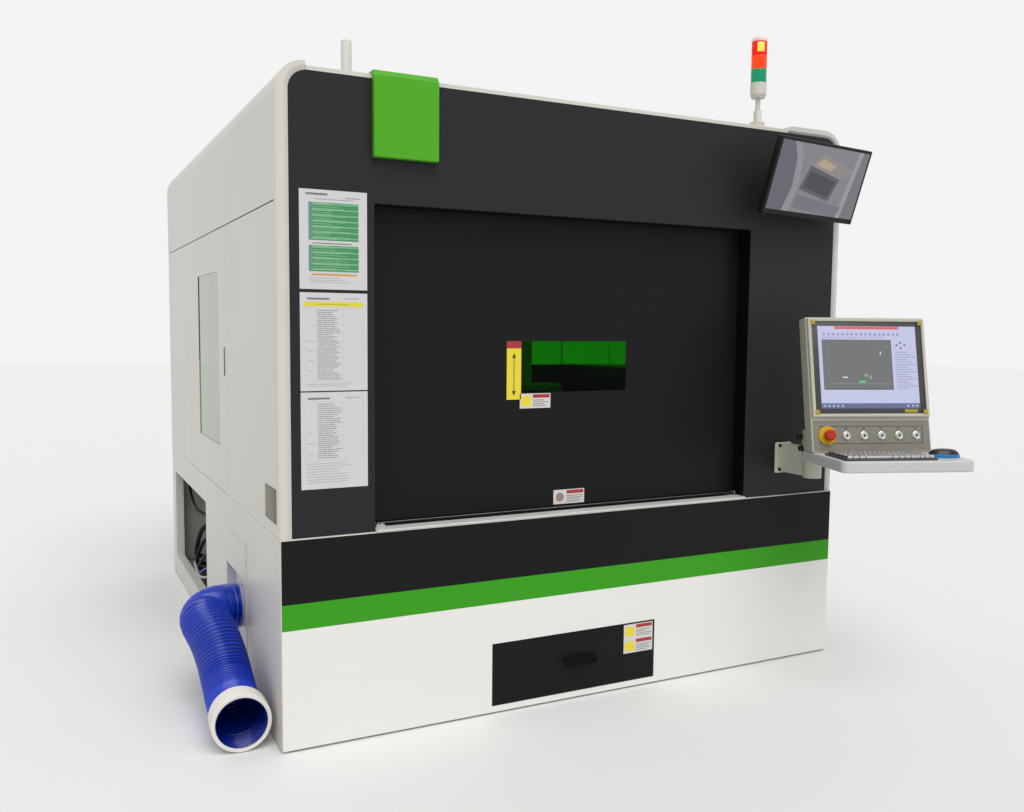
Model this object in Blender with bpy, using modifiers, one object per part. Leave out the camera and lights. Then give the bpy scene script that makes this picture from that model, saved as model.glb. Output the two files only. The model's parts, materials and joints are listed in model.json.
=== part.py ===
"""Enclosed fiber laser cutting machine: lifting front door, side service door, scrap drawer,
gantry with cutting head, stack light, tilting monitor and swivelling operator console.

Metres, +Z up. X runs to the right of the front face, Y towards the rear, and the origin is on the
floor under the middle of the machine.
"""

import math

import bmesh
import bpy
from mathutils import Matrix, Vector

# Overall sizes
width = 2.220
depth = 2.450
seat_gap = 0.0003
seam_gap = 0.003
half_width = width / 2
front_y = -depth / 2
rear_y = depth / 2

# Levels
panel_foot = 0.005
seam_z = 0.661
front_top_z = 2.054
side_seam_drop = 0.379
side_seam_z = front_top_z - side_seam_drop
roof_rise = 0.014
shell_rise = 0.012
roof_top_z = front_top_z + roof_rise
shell_top_z = roof_top_z + shell_rise

# Sheet metal
sheet = 0.003
side_panel_depth = 0.0197
rear_panel_depth = 0.018
shell_clearance = 0.0015
lower_proud = 0.012
lower_panel_depth = 0.025
front_panel_depth = 0.067
fold_share = 0.75

# Corner shells and their front rims
corner_radius = 0.090
black_corner_radius = 0.058
left_rim_width = 0.039
right_rim_width = 0.022
rim_proud = 0.004
rim_depth = 0.030
left_shell_wrap = 0.090
right_shell_wrap = 0.277
right_shell_slant = 0.020
roof_tuck = 0.025

# Door opening and door
left_jamb = 0.302
right_jamb = 0.440
header_height = 0.374
opening_left = -half_width + left_jamb
opening_right = half_width - right_jamb
opening_top = front_top_z - header_height
sill_rise = 0.007
sill_depth = 0.132
door_lap = 0.032
door_top_lap = 0.020
door_thickness = 0.040
door_sheet = 0.002
door_clearance = 0.003
door_bottom_gap = 0.010
door_travel = 0.950
opening_centre = (opening_left + opening_right) / 2

# Door window
window_width = 0.423
window_height = 0.177
window_offset = 0.189
window_rise = 0.422
window_left = opening_centre - window_offset
window_right = window_left + window_width
window_bottom = seam_z + window_rise
window_top = window_bottom + window_height
window_lap = 0.018
window_thickness = 0.008

# Lift cylinder, right guide and the carriage that carries the door
lift_offset = 0.057
lift_setback = 0.100
lift_y = front_y + lift_setback
lift_radius = 0.0165
lift_rise = 0.119
lift_top = roof_top_z + lift_rise
guide_radius = 0.0125
guide_bore_clearance = 0.0005
carriage_rise = 0.139
carriage_low = seam_z + carriage_rise
carriage_height = 0.200
carriage_half = 0.022
carriage_bar_height = 0.080
carriage_bar_rise = 0.060
carriage_bar_depth = 0.024

# Frames
tube = 0.060
base_inset = 0.020
bed_height = 0.100
bed_sheet = 0.008
post_size = 0.080
corner_clear = 0.026
well_left_margin = 0.280
well_right_margin = 0.420
well_front_margin = 0.205
well_rear_margin = 0.805
well_left = -half_width + well_left_margin
well_right = half_width - well_right_margin
well_front = front_y + well_front_margin
well_rear = rear_y - well_rear_margin
side_frame_tube = 0.040
side_frame_width = 0.070
rear_bay_depth = 0.425
bulkhead_y = rear_y - rear_bay_depth
bulkhead_sheet = 0.003
drawer_bay_depth = 0.665
rear_bay_margin = 0.275
first_cross_y = front_y + drawer_bay_depth
last_cross_y = rear_y - rear_bay_margin
cross_member_y = (first_cross_y, 0.0, well_rear - tube / 3, last_cross_y)

# Left side: service door, its window and pull, and the openings below
side_door_swing = 110
side_door_front_margin = 0.815
side_door_rear_margin = 0.690
side_door_front = front_y + side_door_front_margin
side_door_rear = rear_y - side_door_rear_margin
side_window_margins = (0.175, 0.270, 0.174, 0.161)
side_window_front = side_door_front + side_window_margins[0]
side_window_rear = side_door_rear - side_window_margins[1]
side_window_bottom = seam_z + side_window_margins[2]
side_window_top = side_seam_z - side_window_margins[3]
pull_setback = 0.052
pull_rise = 0.453
pull_height = 0.111
pull_y = side_door_front + pull_setback
pull_bottom = seam_z + pull_rise
pull_top = pull_bottom + pull_height
pull_width = 0.022
pull_recess = 0.014
service_length = 0.964
service_rear_margin = 0.112
service_head = 0.113
service_rear = rear_y - service_rear_margin
service_front = service_rear - service_length
service_bottom = 0.100
service_top = seam_z - service_head
service_jamb = 0.038
exhaust_margin = 0.563
exhaust_length = 0.317
exhaust_head = 0.257
exhaust_front = front_y + exhaust_margin
exhaust_rear = exhaust_front + exhaust_length
exhaust_bottom = 0.115
exhaust_top = seam_z - exhaust_head
cover_laps = (0.053, 0.033, 0.136)
exhaust_cover_front = exhaust_front - cover_laps[0]
exhaust_cover_rear = exhaust_rear + cover_laps[1]
exhaust_cover_top = exhaust_top + cover_laps[2]
exhaust_cover_foot = 0.020
exhaust_cover_sheet = 0.002

# Exhaust duct and hose
duct_wall = 0.004
duct_clearance = 0.012
duct_set_back = 0.030
duct_reach = 0.260
collar_radius = 0.0765
collar_length = 0.068
hose_lap = 0.036
hose_radius = 0.084
hose_wall = 0.004
hose_setback = 0.102
hose_drop = 0.119
hose_centre_y = exhaust_front + hose_setback
hose_centre_z = exhaust_top - hose_drop
hose_bend = 0.110
hose_floor_gap = 0.001
cuff_radius = 0.092
cuff_length = 0.080

# Laser source in the lower left of the machine
laser_left_margin = 0.270
laser_rear_margin = 0.165
laser_head = 0.141
laser_left = -half_width + laser_left_margin
laser_width = 0.620
laser_length = 0.760
laser_front = rear_y - laser_rear_margin - laser_length
laser_top = seam_z - laser_head
conduit_radius = 0.014
conduit_setback = 0.330
conduit_y = laser_front + conduit_setback
conduit_z = 0.236

# Slat table, scrap chute, drawer
table_lap = 0.030
table_tube = 0.050
table_height = 0.084
slat_count = 20
slat_thickness = 0.004
slat_depth = 0.066
slat_teeth = 20
slat_tooth = 0.014
slat_rise = 0.011
chute_sheet = 0.002
chute_collar = 0.111
chute_neck_z = seam_z - chute_collar
drawer_left = -0.400
drawer_right = 0.255
drawer_bottom = 0.030
drawer_top = 0.240
drawer_depth = 0.580
chute_gap = 0.005
chute_mouth_z = drawer_top + chute_gap
bay_height = 0.160
bay_sheet = 0.003
bay_clearance = 0.004
drawer_front_thickness = 0.018
drawer_side_inset = 0.015
drawer_sheet = 0.002
drawer_travel = 0.500
drawer_pull_left = -0.128
drawer_pull_right = -0.005
drawer_pull_bottom = 0.113
drawer_pull_top = 0.155
drawer_pull_reach = 0.028

# Gantry, carriage, cutting head
rail_margin = 0.110
rail_offset = (well_right - well_left) / 2 + rail_margin
rail_width = 0.040
rail_height = 0.024
gantry_park_gap = 0.200
gantry_y = bulkhead_y - gantry_park_gap
gantry_front_gap = 0.320
gantry_travel = gantry_y - well_front - gantry_front_gap
gantry_depth = 0.160
gantry_rise = 0.169
gantry_bottom = seam_z + gantry_rise
gantry_height = 0.170
gantry_foot_length = 0.120
carriage_park = 0.210
carriage_x = well_left + carriage_park
carriage_end_gap = 0.010
carriage_travel = well_right - carriage_end_gap - carriage_x
carriage_width = 0.180
carriage_plate = 0.030
carriage_upstand = 0.220
head_travel = 0.095
head_width = 0.090
head_depth = 0.090
head_rise = 0.130
head_height = 0.320
nozzle_length = 0.098
head_bottom = gantry_bottom + head_rise
head_top = head_bottom + head_height
nozzle_tip = head_bottom - nozzle_length

# Badge
badge_overlap = 0.009
badge_width = 0.212
badge_drop = 0.236
badge_left = opening_left - badge_overlap
badge_right = badge_left + badge_width
badge_bottom = front_top_z - badge_drop
badge_proud = 0.025
badge_hood = 0.010
badge_reach = 0.036

# Stack light
light_offset = 0.0435
light_x = opening_right + light_offset
light_setback = 0.034
light_y = front_y + light_setback
light_foot_radius = 0.027
light_foot_height = 0.017
light_bracket_radius = 0.0145
light_bracket_height = 0.044
light_pole_radius = 0.0095
light_pole_height = 0.046
light_base_radius = 0.030
light_base_height = 0.055
lens_radius = 0.0285
lens_height = 0.050
light_cap_height = 0.021

# Monitor
monitor_width = 0.461
monitor_height = 0.278
monitor_thickness = 0.030
monitor_margin = 0.251
monitor_drop = 0.186
monitor_x = half_width - monitor_margin
monitor_z = front_top_z - monitor_drop
monitor_standoff = 0.040
monitor_swivel_y = front_y - monitor_standoff
monitor_arm_reach = 0.058
monitor_pin_radius = 0.013
monitor_yaw = math.radians(1.5)
monitor_tilt = math.radians(17.9)
monitor_swivel_limits = (-10, 10)
monitor_tilt_limits = (-18, 8)
monitor_roll = math.radians(2.0)
monitor_lug_reach = 0.016
monitor_bezel = 0.010
monitor_chin = 0.018

# Console
console_margin = 0.158
console_reach = 0.322
console_x = half_width - console_margin
console_y = front_y - console_reach
console_z = 1.172
console_yaw = math.radians(-19.3)
console_tilt = math.radians(11.8)
console_swivel_limits = (-30, 40)
console_depth = 0.055
console_above = 0.186
screen_outer_width = 0.423
screen_side_margin = 0.016
console_width = screen_outer_width + 2 * screen_side_margin
screen_outer_height = 0.339
screen_thickness = 0.008
screen_sink = 0.004
frame_raise = 0.014
tray_top = 0.870
tray_thickness = 0.040
tray_inset = 0.0015
tray_overhang = 0.0265
tray_left = -console_width / 2 + tray_inset
tray_right = console_width / 2 + tray_overhang
tray_front = -0.292
tray_rear = 0.036
tray_corner = 0.025
keyboard_margin = 0.018
keyboard_left = tray_left + keyboard_margin
mouse_room = 0.132
keyboard_width = tray_right - keyboard_left - mouse_room
keyboard_front = -0.276
keyboard_depth = 0.160
keyboard_height = 0.016
mouse_x = tray_right - mouse_room / 2
mouse_y = -0.200
mouse_size = (0.112, 0.064, 0.036)
pivot_margin = 0.255
pivot_reach = 0.165
pivot_x = half_width - pivot_margin
pivot_y = front_y - pivot_reach
pivot_radius = 0.034
bracket_half = 0.0395
bracket_left = pivot_x - bracket_half
bracket_right = pivot_x + bracket_half
bracket_bottom = 0.751
bracket_top = 0.870
bracket_plate = 0.012
neck_width = 0.080
neck_height = 0.060

# Buttons on the strip under the screen, in the plane of the screen
button_row_z = -0.247
estop_margin = 0.0595
estop_pitch = 0.072
button_margin = 0.0575
estop_x = -console_width / 2 + estop_margin
button_first_x = estop_x + estop_pitch
button_count = 5
button_last_x = console_width / 2 - button_margin
button_pitch = (button_last_x - button_first_x) / (button_count - 1)
button_radius = 0.011
button_length = 0.016
button_proud = 0.006
button_travel = 0.004
collar_disc_radius = 0.034
collar_disc_height = 0.006
estop_radius = 0.020
estop_stem_radius = 0.011
estop_gap = 0.008
estop_head = 0.020
estop_stem_sink = 0.014
estop_travel = 0.005

arc_steps = 8
turned_steps = 24

for leftover in list(bpy.data.objects):
    bpy.data.objects.remove(leftover, do_unlink=True)

model = bpy.data.collections.new("fiber_laser_cutting_machine")
cutters = bpy.data.collections.new("cutters")
bpy.context.scene.collection.children.link(model)
bpy.context.scene.collection.children.link(cutters)


def paint(name, colour, roughness=0.45, metallic=0.0):
    material = bpy.data.materials.new(name)
    material.use_nodes = True
    shader = material.node_tree.nodes["Principled BSDF"]
    shader.inputs["Base Color"].default_value = (*colour, 1.0)
    shader.inputs["Roughness"].default_value = roughness
    shader.inputs["Metallic"].default_value = metallic
    return material


shell_white = paint("shell_white", (0.60, 0.59, 0.56), 0.45)
panel_black = paint("panel_black", (0.016, 0.017, 0.019), 0.35)
badge_green = paint("badge_green", (0.10, 0.40, 0.04), 0.35)
frame_grey = paint("frame_grey", (0.22, 0.23, 0.24), 0.5)
bare_steel = paint("bare_steel", (0.55, 0.55, 0.54), 0.35, 1.0)
slat_steel = paint("slat_steel", (0.30, 0.28, 0.26), 0.6, 1.0)
green_acrylic = paint("green_acrylic", (0.02, 0.16, 0.03), 0.08)
mirror_acrylic = paint("mirror_acrylic", (0.25, 0.35, 0.28), 0.05)
console_beige = paint("console_beige", (0.42, 0.41, 0.36), 0.45)
screen_black = paint("screen_black", (0.02, 0.02, 0.022), 0.12)
monitor_black = paint("monitor_black", (0.02, 0.02, 0.022), 0.5)
key_silver = paint("key_silver", (0.45, 0.45, 0.46), 0.4)
mouse_black = paint("mouse_black", (0.012, 0.012, 0.014), 0.25)
hose_blue = paint("hose_blue", (0.01, 0.09, 0.55), 0.3)
cable_black = paint("cable_black", (0.01, 0.01, 0.01), 0.5)
lamp_white = paint("lamp_white", (0.62, 0.61, 0.57), 0.35)
lens_green = paint("lens_green", (0.02, 0.35, 0.14), 0.15)
lens_amber = paint("lens_amber", (0.9, 0.22, 0.03), 0.15)
lens_red = paint("lens_red", (0.75, 0.05, 0.02), 0.15)
stop_yellow = paint("stop_yellow", (0.80, 0.50, 0.01), 0.4)
stop_red = paint("stop_red", (0.65, 0.02, 0.01), 0.35)
button_white = paint("button_white", (0.55, 0.55, 0.53), 0.3)
laser_grey = paint("laser_grey", (0.40, 0.41, 0.42), 0.4)
head_dark = paint("head_dark", (0.05, 0.05, 0.06), 0.4)


# Objects, parents and cuts

def link(name, mesh, material, location=(0, 0, 0), rotation=(0, 0, 0), parent=None, local=False):
    """Put a mesh in the model; with a parent, its place is a world place unless local is set."""
    piece = bpy.data.objects.new(name, mesh)
    mesh.materials.append(material)
    model.objects.link(piece)
    piece.location = location
    piece.rotation_euler = rotation
    if parent:
        bpy.context.view_layer.update()
        piece.parent = parent
        if not local:
            piece.matrix_parent_inverse = parent.matrix_world.inverted()
    return piece


def joint(name, location, parent=None, rotation=(0, 0, 0), local=False, limits=None):
    """An empty on a joint's axis, or at the corner of a turned assembly.

    Its limits are kept on it: metres of slide, or degrees of turn.
    """
    empty = bpy.data.objects.new(name, None)
    empty.empty_display_size = 0.05
    model.objects.link(empty)
    empty.location = location
    empty.rotation_euler = rotation
    if limits:
        empty["lowest"], empty["highest"] = limits
    if parent:
        bpy.context.view_layer.update()
        empty.parent = parent
        if not local:
            empty.matrix_parent_inverse = parent.matrix_world.inverted()
    bpy.context.view_layer.update()
    return empty


def to_mesh(form, name):
    bmesh.ops.recalc_face_normals(form, faces=form.faces)
    mesh = bpy.data.meshes.new(name)
    form.to_mesh(mesh)
    form.free()
    return mesh


def box_mesh(name, low, high):
    """A box about its own centre."""
    form = bmesh.new()
    bmesh.ops.create_cube(form, size=1.0)
    size = Vector(high) - Vector(low)
    bmesh.ops.transform(form, matrix=Matrix.Diagonal((*size, 1.0)), verts=form.verts)
    return to_mesh(form, name)


def middle(low, high):
    return (Vector(low) + Vector(high)) / 2


def soften(piece, radius, segments=1, angle=35):
    bevel = piece.modifiers.new("edges", "BEVEL")
    bevel.width = radius
    bevel.segments = segments
    bevel.limit_method = "ANGLE"
    bevel.angle_limit = math.radians(angle)
    return piece


def block(name, low, high, material, parent=None, local=False, edge=0.0, segments=1):
    piece = link(name, box_mesh(name, low, high), material, middle(low, high), parent=parent, local=local)
    if edge:
        soften(piece, edge, segments)
    return piece


def prism_mesh(name, outline, low, high):
    """An outline in the XY plane raised from low to high."""
    form = bmesh.new()
    corners = [form.verts.new((u, v, low)) for u, v in outline]
    face = form.faces.new(corners)
    top = bmesh.ops.extrude_face_region(form, geom=[face])["geom"]
    raised = [item for item in top if isinstance(item, bmesh.types.BMVert)]
    bmesh.ops.translate(form, vec=(0, 0, high - low), verts=raised)
    return to_mesh(form, name)


def cylinder_mesh(name, radius, length, steps=turned_steps):
    form = bmesh.new()
    bmesh.ops.create_cone(form, cap_ends=True, segments=steps, radius1=radius, radius2=radius, depth=length)
    mesh = to_mesh(form, name)
    mesh.shade_smooth()
    mesh.set_sharp_from_angle(angle=math.radians(40))
    return mesh


def ring_mesh(name, radius, bore, length, steps=turned_steps):
    """A plain ring about Z, centred on its own length."""
    form = bmesh.new()
    loops = []
    for reach, height in ((radius, -length / 2), (radius, length / 2), (bore, length / 2), (bore, -length / 2)):
        points = arc((0, 0), reach, 0, 360 - 360 / steps, steps - 1)
        loops.append([form.verts.new((x, y, height)) for x, y in points])
    for number, loop in enumerate(loops):
        beyond = loops[(number + 1) % 4]
        for index in range(steps):
            following = (index + 1) % steps
            form.faces.new((loop[index], loop[following], beyond[following], beyond[index]))
    return to_mesh(form, name)


def tool(name, mesh, location=(0, 0, 0), rotation=(0, 0, 0), parent=None, local=False):
    """A cutter or a half-made form that is joined to a piece; it is never a piece itself."""
    shape = bpy.data.objects.new(name, mesh)
    cutters.objects.link(shape)
    shape.location = location
    shape.rotation_euler = rotation
    shape.hide_render = True
    shape.display_type = "WIRE"
    if parent:
        bpy.context.view_layer.update()
        shape.parent = parent
        if not local:
            shape.matrix_parent_inverse = parent.matrix_world.inverted()
    return shape


def box_tool(name, low, high, parent=None, local=False):
    return tool(name, box_mesh(name, low, high), middle(low, high), parent=parent, local=local)


def combine(piece, shape, operation):
    boolean = piece.modifiers.new(shape.name, "BOOLEAN")
    boolean.operation = operation
    boolean.object = shape
    boolean.solver = "EXACT"
    return piece


def cut(piece, shape):
    return combine(piece, shape, "DIFFERENCE")


def unite(piece, shape):
    return combine(piece, shape, "UNION")


# Outlines: (u, v) pairs, where v is height and u is X on the front, and runs to the viewer's right elsewhere

def rectangle(left, bottom, right, top):
    return [(left, bottom), (right, bottom), (right, top), (left, top)]


def arc(centre, radius, start, end, steps=arc_steps):
    """Points on an arc, angles in degrees."""
    points = []
    for step in range(steps + 1):
        angle = math.radians(start + (end - start) * step / steps)
        points.append((centre[0] + radius * math.cos(angle), centre[1] + radius * math.sin(angle)))
    return points


wall_turn = {
    "front": (math.pi / 2, 0, 0),
    "left": (math.pi / 2, 0, -math.pi / 2),
    "right": (math.pi / 2, 0, math.pi / 2),
    "rear": (math.pi / 2, 0, math.pi),
    "top": (0, 0, 0),
}
wall_out = {
    "front": Vector((0, -1, 0)),
    "left": Vector((-1, 0, 0)),
    "right": Vector((1, 0, 0)),
    "rear": Vector((0, 1, 0)),
    "top": Vector((0, 0, 1)),
}


def pan(name, wall, plane, outline, flange, thickness, material, parent=None):
    """A folded sheet: a face out at the plane's distance, its edges turned back by the flange."""
    form = bmesh.new()
    face = form.faces.new([form.verts.new((u, v, 0)) for u, v in outline])
    if face.normal.z < 0:
        face.normal_flip()
    face.normal_update()
    turned = bmesh.ops.extrude_edge_only(form, edges=form.edges[:])["geom"]
    back = [item for item in turned if isinstance(item, bmesh.types.BMVert)]
    bmesh.ops.translate(form, vec=(0, 0, -flange), verts=back)
    bmesh.ops.recalc_face_normals(form, faces=form.faces)
    form.faces.ensure_lookup_table()
    if max(form.faces, key=lambda item: item.calc_area()).normal.z < 0:
        bmesh.ops.reverse_faces(form, faces=form.faces)
    mesh = bpy.data.meshes.new(name)
    form.to_mesh(mesh)
    form.free()
    piece = link(name, mesh, material, wall_out[wall] * plane, wall_turn[wall], parent)
    soften(piece, fold_share * thickness, 1, 50)
    wall_sheet = piece.modifiers.new("sheet", "SOLIDIFY")
    wall_sheet.thickness = thickness
    wall_sheet.offset = -1.0
    wall_sheet.use_even_offset = True
    return piece


def loft_mesh(name, loops):
    """A solid through loops of like points, with both ends closed."""
    form = bmesh.new()
    rings = [[form.verts.new(point) for point in loop] for loop in loops]
    count = len(loops[0])
    for lower, upper in zip(rings, rings[1:]):
        for index in range(count):
            following = (index + 1) % count
            form.faces.new((lower[index], lower[following], upper[following], upper[index]))
    form.faces.new(rings[0])
    form.faces.new(rings[-1])
    return to_mesh(form, name)


def turned(name, profile, material, location, parent=None, local=False, rotation=(0, 0, 0)):
    """A turned piece about Z: (radius, height) pairs from the top of the axis down to its foot."""
    mesh = bpy.data.meshes.new(name)
    points = [(radius, 0.0, height) for radius, height in profile]
    mesh.from_pydata(points, [(i, i + 1) for i in range(len(points) - 1)], [])
    piece = link(name, mesh, material, location, rotation, parent, local)
    screw = piece.modifiers.new("turn", "SCREW")
    screw.steps = turned_steps
    screw.render_steps = turned_steps
    screw.use_merge_vertices = True
    screw.merge_threshold = 0.00001
    screw.use_smooth_shade = False
    return piece


# Base and bed

frame_half = half_width - base_inset
frame_front = front_y - lower_proud + lower_panel_depth + seat_gap
frame_rear = rear_y - base_inset


def base_frame():
    """Welded ring of square tube with cross members, on the floor."""
    frame = block("base_frame", (-frame_half, frame_front, 0), (frame_half, frame_rear, tube), frame_grey)
    edges = [frame_front + tube]
    for centre in cross_member_y:
        edges += [centre - tube / 2, centre + tube / 2]
    edges.append(frame_rear - tube)
    for number, (near, far) in enumerate(zip(edges[::2], edges[1::2])):
        low = (-frame_half + tube, near, -tube)
        high = (frame_half - tube, far, 2 * tube)
        cut(frame, box_tool(f"base_bay_{number}", low, high))


def post_box(side, margin=0.0):
    """Low and high corner of the front post on one side (-1 left, 1 right)."""
    post_front = front_y + front_panel_depth + seat_gap
    xs = sorted((side * frame_half, side * (frame_half - post_size)))
    low = (xs[0] - margin, post_front - margin, tube + seat_gap)
    high = (xs[1] + margin, post_front + post_size + margin, front_top_z - corner_clear)
    return low, high


def bed_frame():
    """Folded bed over the base with the well for the slat table, and the two gantry rails on it."""
    bed = pan("bed_frame", "top", seam_z, rectangle(-frame_half, frame_front, frame_half, frame_rear),
              bed_height, bed_sheet, frame_grey)
    low = (well_left, well_front, seam_z - 2 * bed_height)
    high = (well_right, well_rear, seam_z + bed_height)
    wall = bed_sheet
    outer_low = (well_left - wall, well_front - wall, seam_z - bed_height)
    outer_high = (well_right + wall, well_rear + wall, seam_z - bed_sheet / 2)
    unite(bed, box_tool("well_walls", outer_low, outer_high))
    cut(bed, box_tool("well", low, high))
    for side in (-1, 1):
        low, high = post_box(side, seat_gap)
        cut(bed, box_tool(f"post_notch_{side}", low, high))
        x = opening_centre + side * rail_offset
        rail_low = (x - rail_width / 2, well_front, seam_z - bed_sheet / 2)
        rail_high = (x + rail_width / 2, bulkhead_y - 0.02, seam_z + rail_height)
        unite(bed, box_tool(f"rail_{side}", rail_low, rail_high))


def front_posts():
    for side, name in ((-1, "front_post_left"), (1, "front_post_right")):
        low, high = post_box(side)
        block(name, low, high, frame_grey)


# Panels

def lower_panels():
    plane = front_y - lower_proud
    front = pan("lower_front_panel", "front", -plane, rectangle(-half_width, panel_foot, half_width, seam_z),
                lower_panel_depth, sheet, shell_white)
    low = (drawer_left - seam_gap, plane - 0.02, drawer_bottom - seam_gap)
    high = (drawer_right + seam_gap, plane + 0.02, drawer_top + seam_gap)
    cut(front, box_tool("drawer_cutout", low, high))

    left = pan("lower_left_panel", "left", half_width,
               rectangle(-rear_y, panel_foot, -frame_front - seat_gap, seam_z),
               side_panel_depth, sheet, shell_white)
    unite(left, box_tool("service_frame", (-half_width + sheet / 3, service_front - sheet, service_bottom - sheet),
                         (-half_width + service_jamb, service_rear + sheet, service_top + sheet)))
    cut(left, box_tool("service_cutout", (-half_width - service_jamb, service_front, service_bottom),
                       (-half_width + 2 * service_jamb, service_rear, service_top)))
    cut(left, exhaust_cutter("exhaust_cutout"))
    pan("lower_right_panel", "right", half_width,
        rectangle(frame_front + seat_gap, panel_foot, rear_y, seam_z), side_panel_depth, sheet, shell_white)


def exhaust_cutter(name):
    reach = 0.05
    return box_tool(name, (-half_width - reach, exhaust_front, exhaust_bottom),
                    (-half_width + sheet * 2, exhaust_rear, exhaust_top))


def exhaust_cover():
    """Thin plate screwed over the side panel round the exhaust outlet."""
    outer = -half_width - seat_gap - exhaust_cover_sheet
    cover = block("exhaust_cover", (outer, exhaust_cover_front, panel_foot + exhaust_cover_foot),
                  (-half_width - seat_gap, exhaust_cover_rear, exhaust_cover_top), shell_white)
    cut(cover, exhaust_cutter("exhaust_cover_cutout"))


def upper_side_panels():
    above = seam_z + seat_gap
    below = side_seam_z - seam_gap / 2
    front_end = front_y - rim_proud + rim_depth + seat_gap
    pan("left_front_panel", "left", half_width,
        rectangle(-side_door_front + seam_gap / 2, above, -front_end, below),
        side_panel_depth, sheet, shell_white)
    pan("left_rear_panel", "left", half_width,
        rectangle(-rear_y, above, -side_door_rear - seam_gap, below), side_panel_depth, sheet, shell_white)
    pan("right_side_panel", "right", half_width,
        rectangle(front_end, above, rear_y, below), side_panel_depth, sheet, shell_white)


def rear_panel():
    """Full-height rear cover, with its top corners following the shells."""
    inner = half_width - side_panel_depth - seat_gap
    in_shell = half_width - sheet - shell_clearance
    arc_radius = corner_radius - sheet - shell_clearance
    arc_z = shell_top_z - corner_radius
    top = front_top_z
    end = math.degrees(math.asin((top - arc_z) / arc_radius))
    step_z = side_seam_z + seam_gap / 2 + 2 * sheet + shell_clearance
    centre_x = half_width - corner_radius
    right_edge = [(inner, panel_foot), (inner, step_z), (in_shell, step_z)]
    right_edge += arc((centre_x, arc_z), arc_radius, 0, end, 4)
    left_edge = [(-u, v) for u, v in reversed(right_edge)]
    pan("rear_panel", "rear", rear_y, right_edge + left_edge, rear_panel_depth, sheet, shell_white)


def upper_front_panel():
    """Black portal: both jambs and the header, folded back round the door recess."""
    left = -half_width + left_rim_width
    right = half_width - right_rim_width
    foot = seam_z + seat_gap
    radius = black_corner_radius
    outline = [(left, foot), (opening_left, foot), (opening_left, opening_top), (opening_right, opening_top),
               (opening_right, foot), (right, foot)]
    outline += arc((right - radius, front_top_z - radius), radius, 0, 90, 6)
    outline += arc((left + radius, front_top_z - radius), radius, 90, 180, 6)
    pan("upper_front_panel", "front", -front_y, outline, front_panel_depth, sheet, panel_black)


def door_sill():
    low = (opening_left + seat_gap, front_y - lower_proud, seam_z + seat_gap)
    high = (opening_right - seat_gap, front_y - lower_proud + sill_depth, seam_z + sill_rise)
    block("door_sill", low, high, shell_white, edge=0.001)


def roof_panel():
    """Roof tray with a slot for the lifting door and a hole for the lift cylinder."""
    left = -half_width + left_shell_wrap
    right = half_width - right_shell_wrap
    tuck = half_width - corner_radius + roof_tuck
    near = front_y
    step = front_y - rim_proud + rim_depth + sheet
    outline = [(left + seat_gap, near), (right - seat_gap, near), (right - seat_gap, step), (tuck, step),
               (tuck, rear_y), (-tuck, rear_y), (-tuck, step), (left + seat_gap, step)]
    roof = pan("roof_panel", "top", roof_top_z, outline, roof_rise - seat_gap, sheet, shell_white)
    slot_low = (opening_left - door_lap - door_clearance, door_front - door_clearance, front_top_z - 0.01)
    slot_high = (opening_right + door_lap + door_clearance, door_front + door_thickness + door_clearance,
                 roof_top_z + 0.02)
    cut(roof, box_tool("door_slot", slot_low, slot_high))
    hole = cylinder_mesh("lift_hole", lift_radius + 0.002, 0.06)
    cut(roof, tool("lift_hole", hole, (lift_x, lift_y, roof_top_z)))


# Corner shells with their rims

def left_rim_loop(inset, y):
    """Front view of the left rim; inset moves its inner edge out for the bevel."""
    foot = seam_z + seat_gap
    centre = (-half_width + corner_radius, shell_top_z - corner_radius)
    inner_centre = (-half_width + left_rim_width + black_corner_radius, front_top_z - black_corner_radius)
    radius = black_corner_radius + seat_gap + inset
    end_x = -half_width + left_shell_wrap
    start = math.degrees(math.acos((end_x - inner_centre[0]) / radius))
    loop = [(-half_width, foot)] + arc(centre, corner_radius, 180, 90)
    loop += arc(inner_centre, radius, start, 180)
    loop.append((inner_centre[0] - radius, foot))
    return [(u, y, v) for u, v in loop]


def right_rim_loop(inset, y):
    """Front view of the right rim, whose top runs on along the roof to a slanted end."""
    foot = seam_z + seat_gap
    centre = (half_width - corner_radius, shell_top_z - corner_radius)
    inner_centre = (half_width - right_rim_width - black_corner_radius, front_top_z - black_corner_radius)
    radius = black_corner_radius + seat_gap + inset
    end_x = half_width - right_shell_wrap
    loop = [(half_width, foot)] + arc(centre, corner_radius, 0, 90)
    loop += [(end_x + right_shell_slant, shell_top_z), (end_x, front_top_z + seat_gap + inset)]
    loop += arc(inner_centre, radius, 90, 0)
    loop.append((inner_centre[0] + radius, foot))
    return [(u, y, v) for u, v in loop]


def rim_mesh(name, loop, bevel):
    front = front_y - rim_proud
    return loft_mesh(name, [loop(bevel, front), loop(0.0, front + 0.007), loop(0.0, front + rim_depth)])


def bent_sheet(name, profile, near, far):
    """A sheet with its profile in XZ, run along Y; its thickness goes to the inside."""
    form = bmesh.new()
    front = [form.verts.new((u, near, v)) for u, v in profile]
    back = [form.verts.new((u, far, v)) for u, v in profile]
    for index in range(len(profile) - 1):
        form.faces.new((front[index], front[index + 1], back[index + 1], back[index]))
    mesh = bpy.data.meshes.new(name)
    form.to_mesh(mesh)
    form.free()
    return mesh


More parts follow.
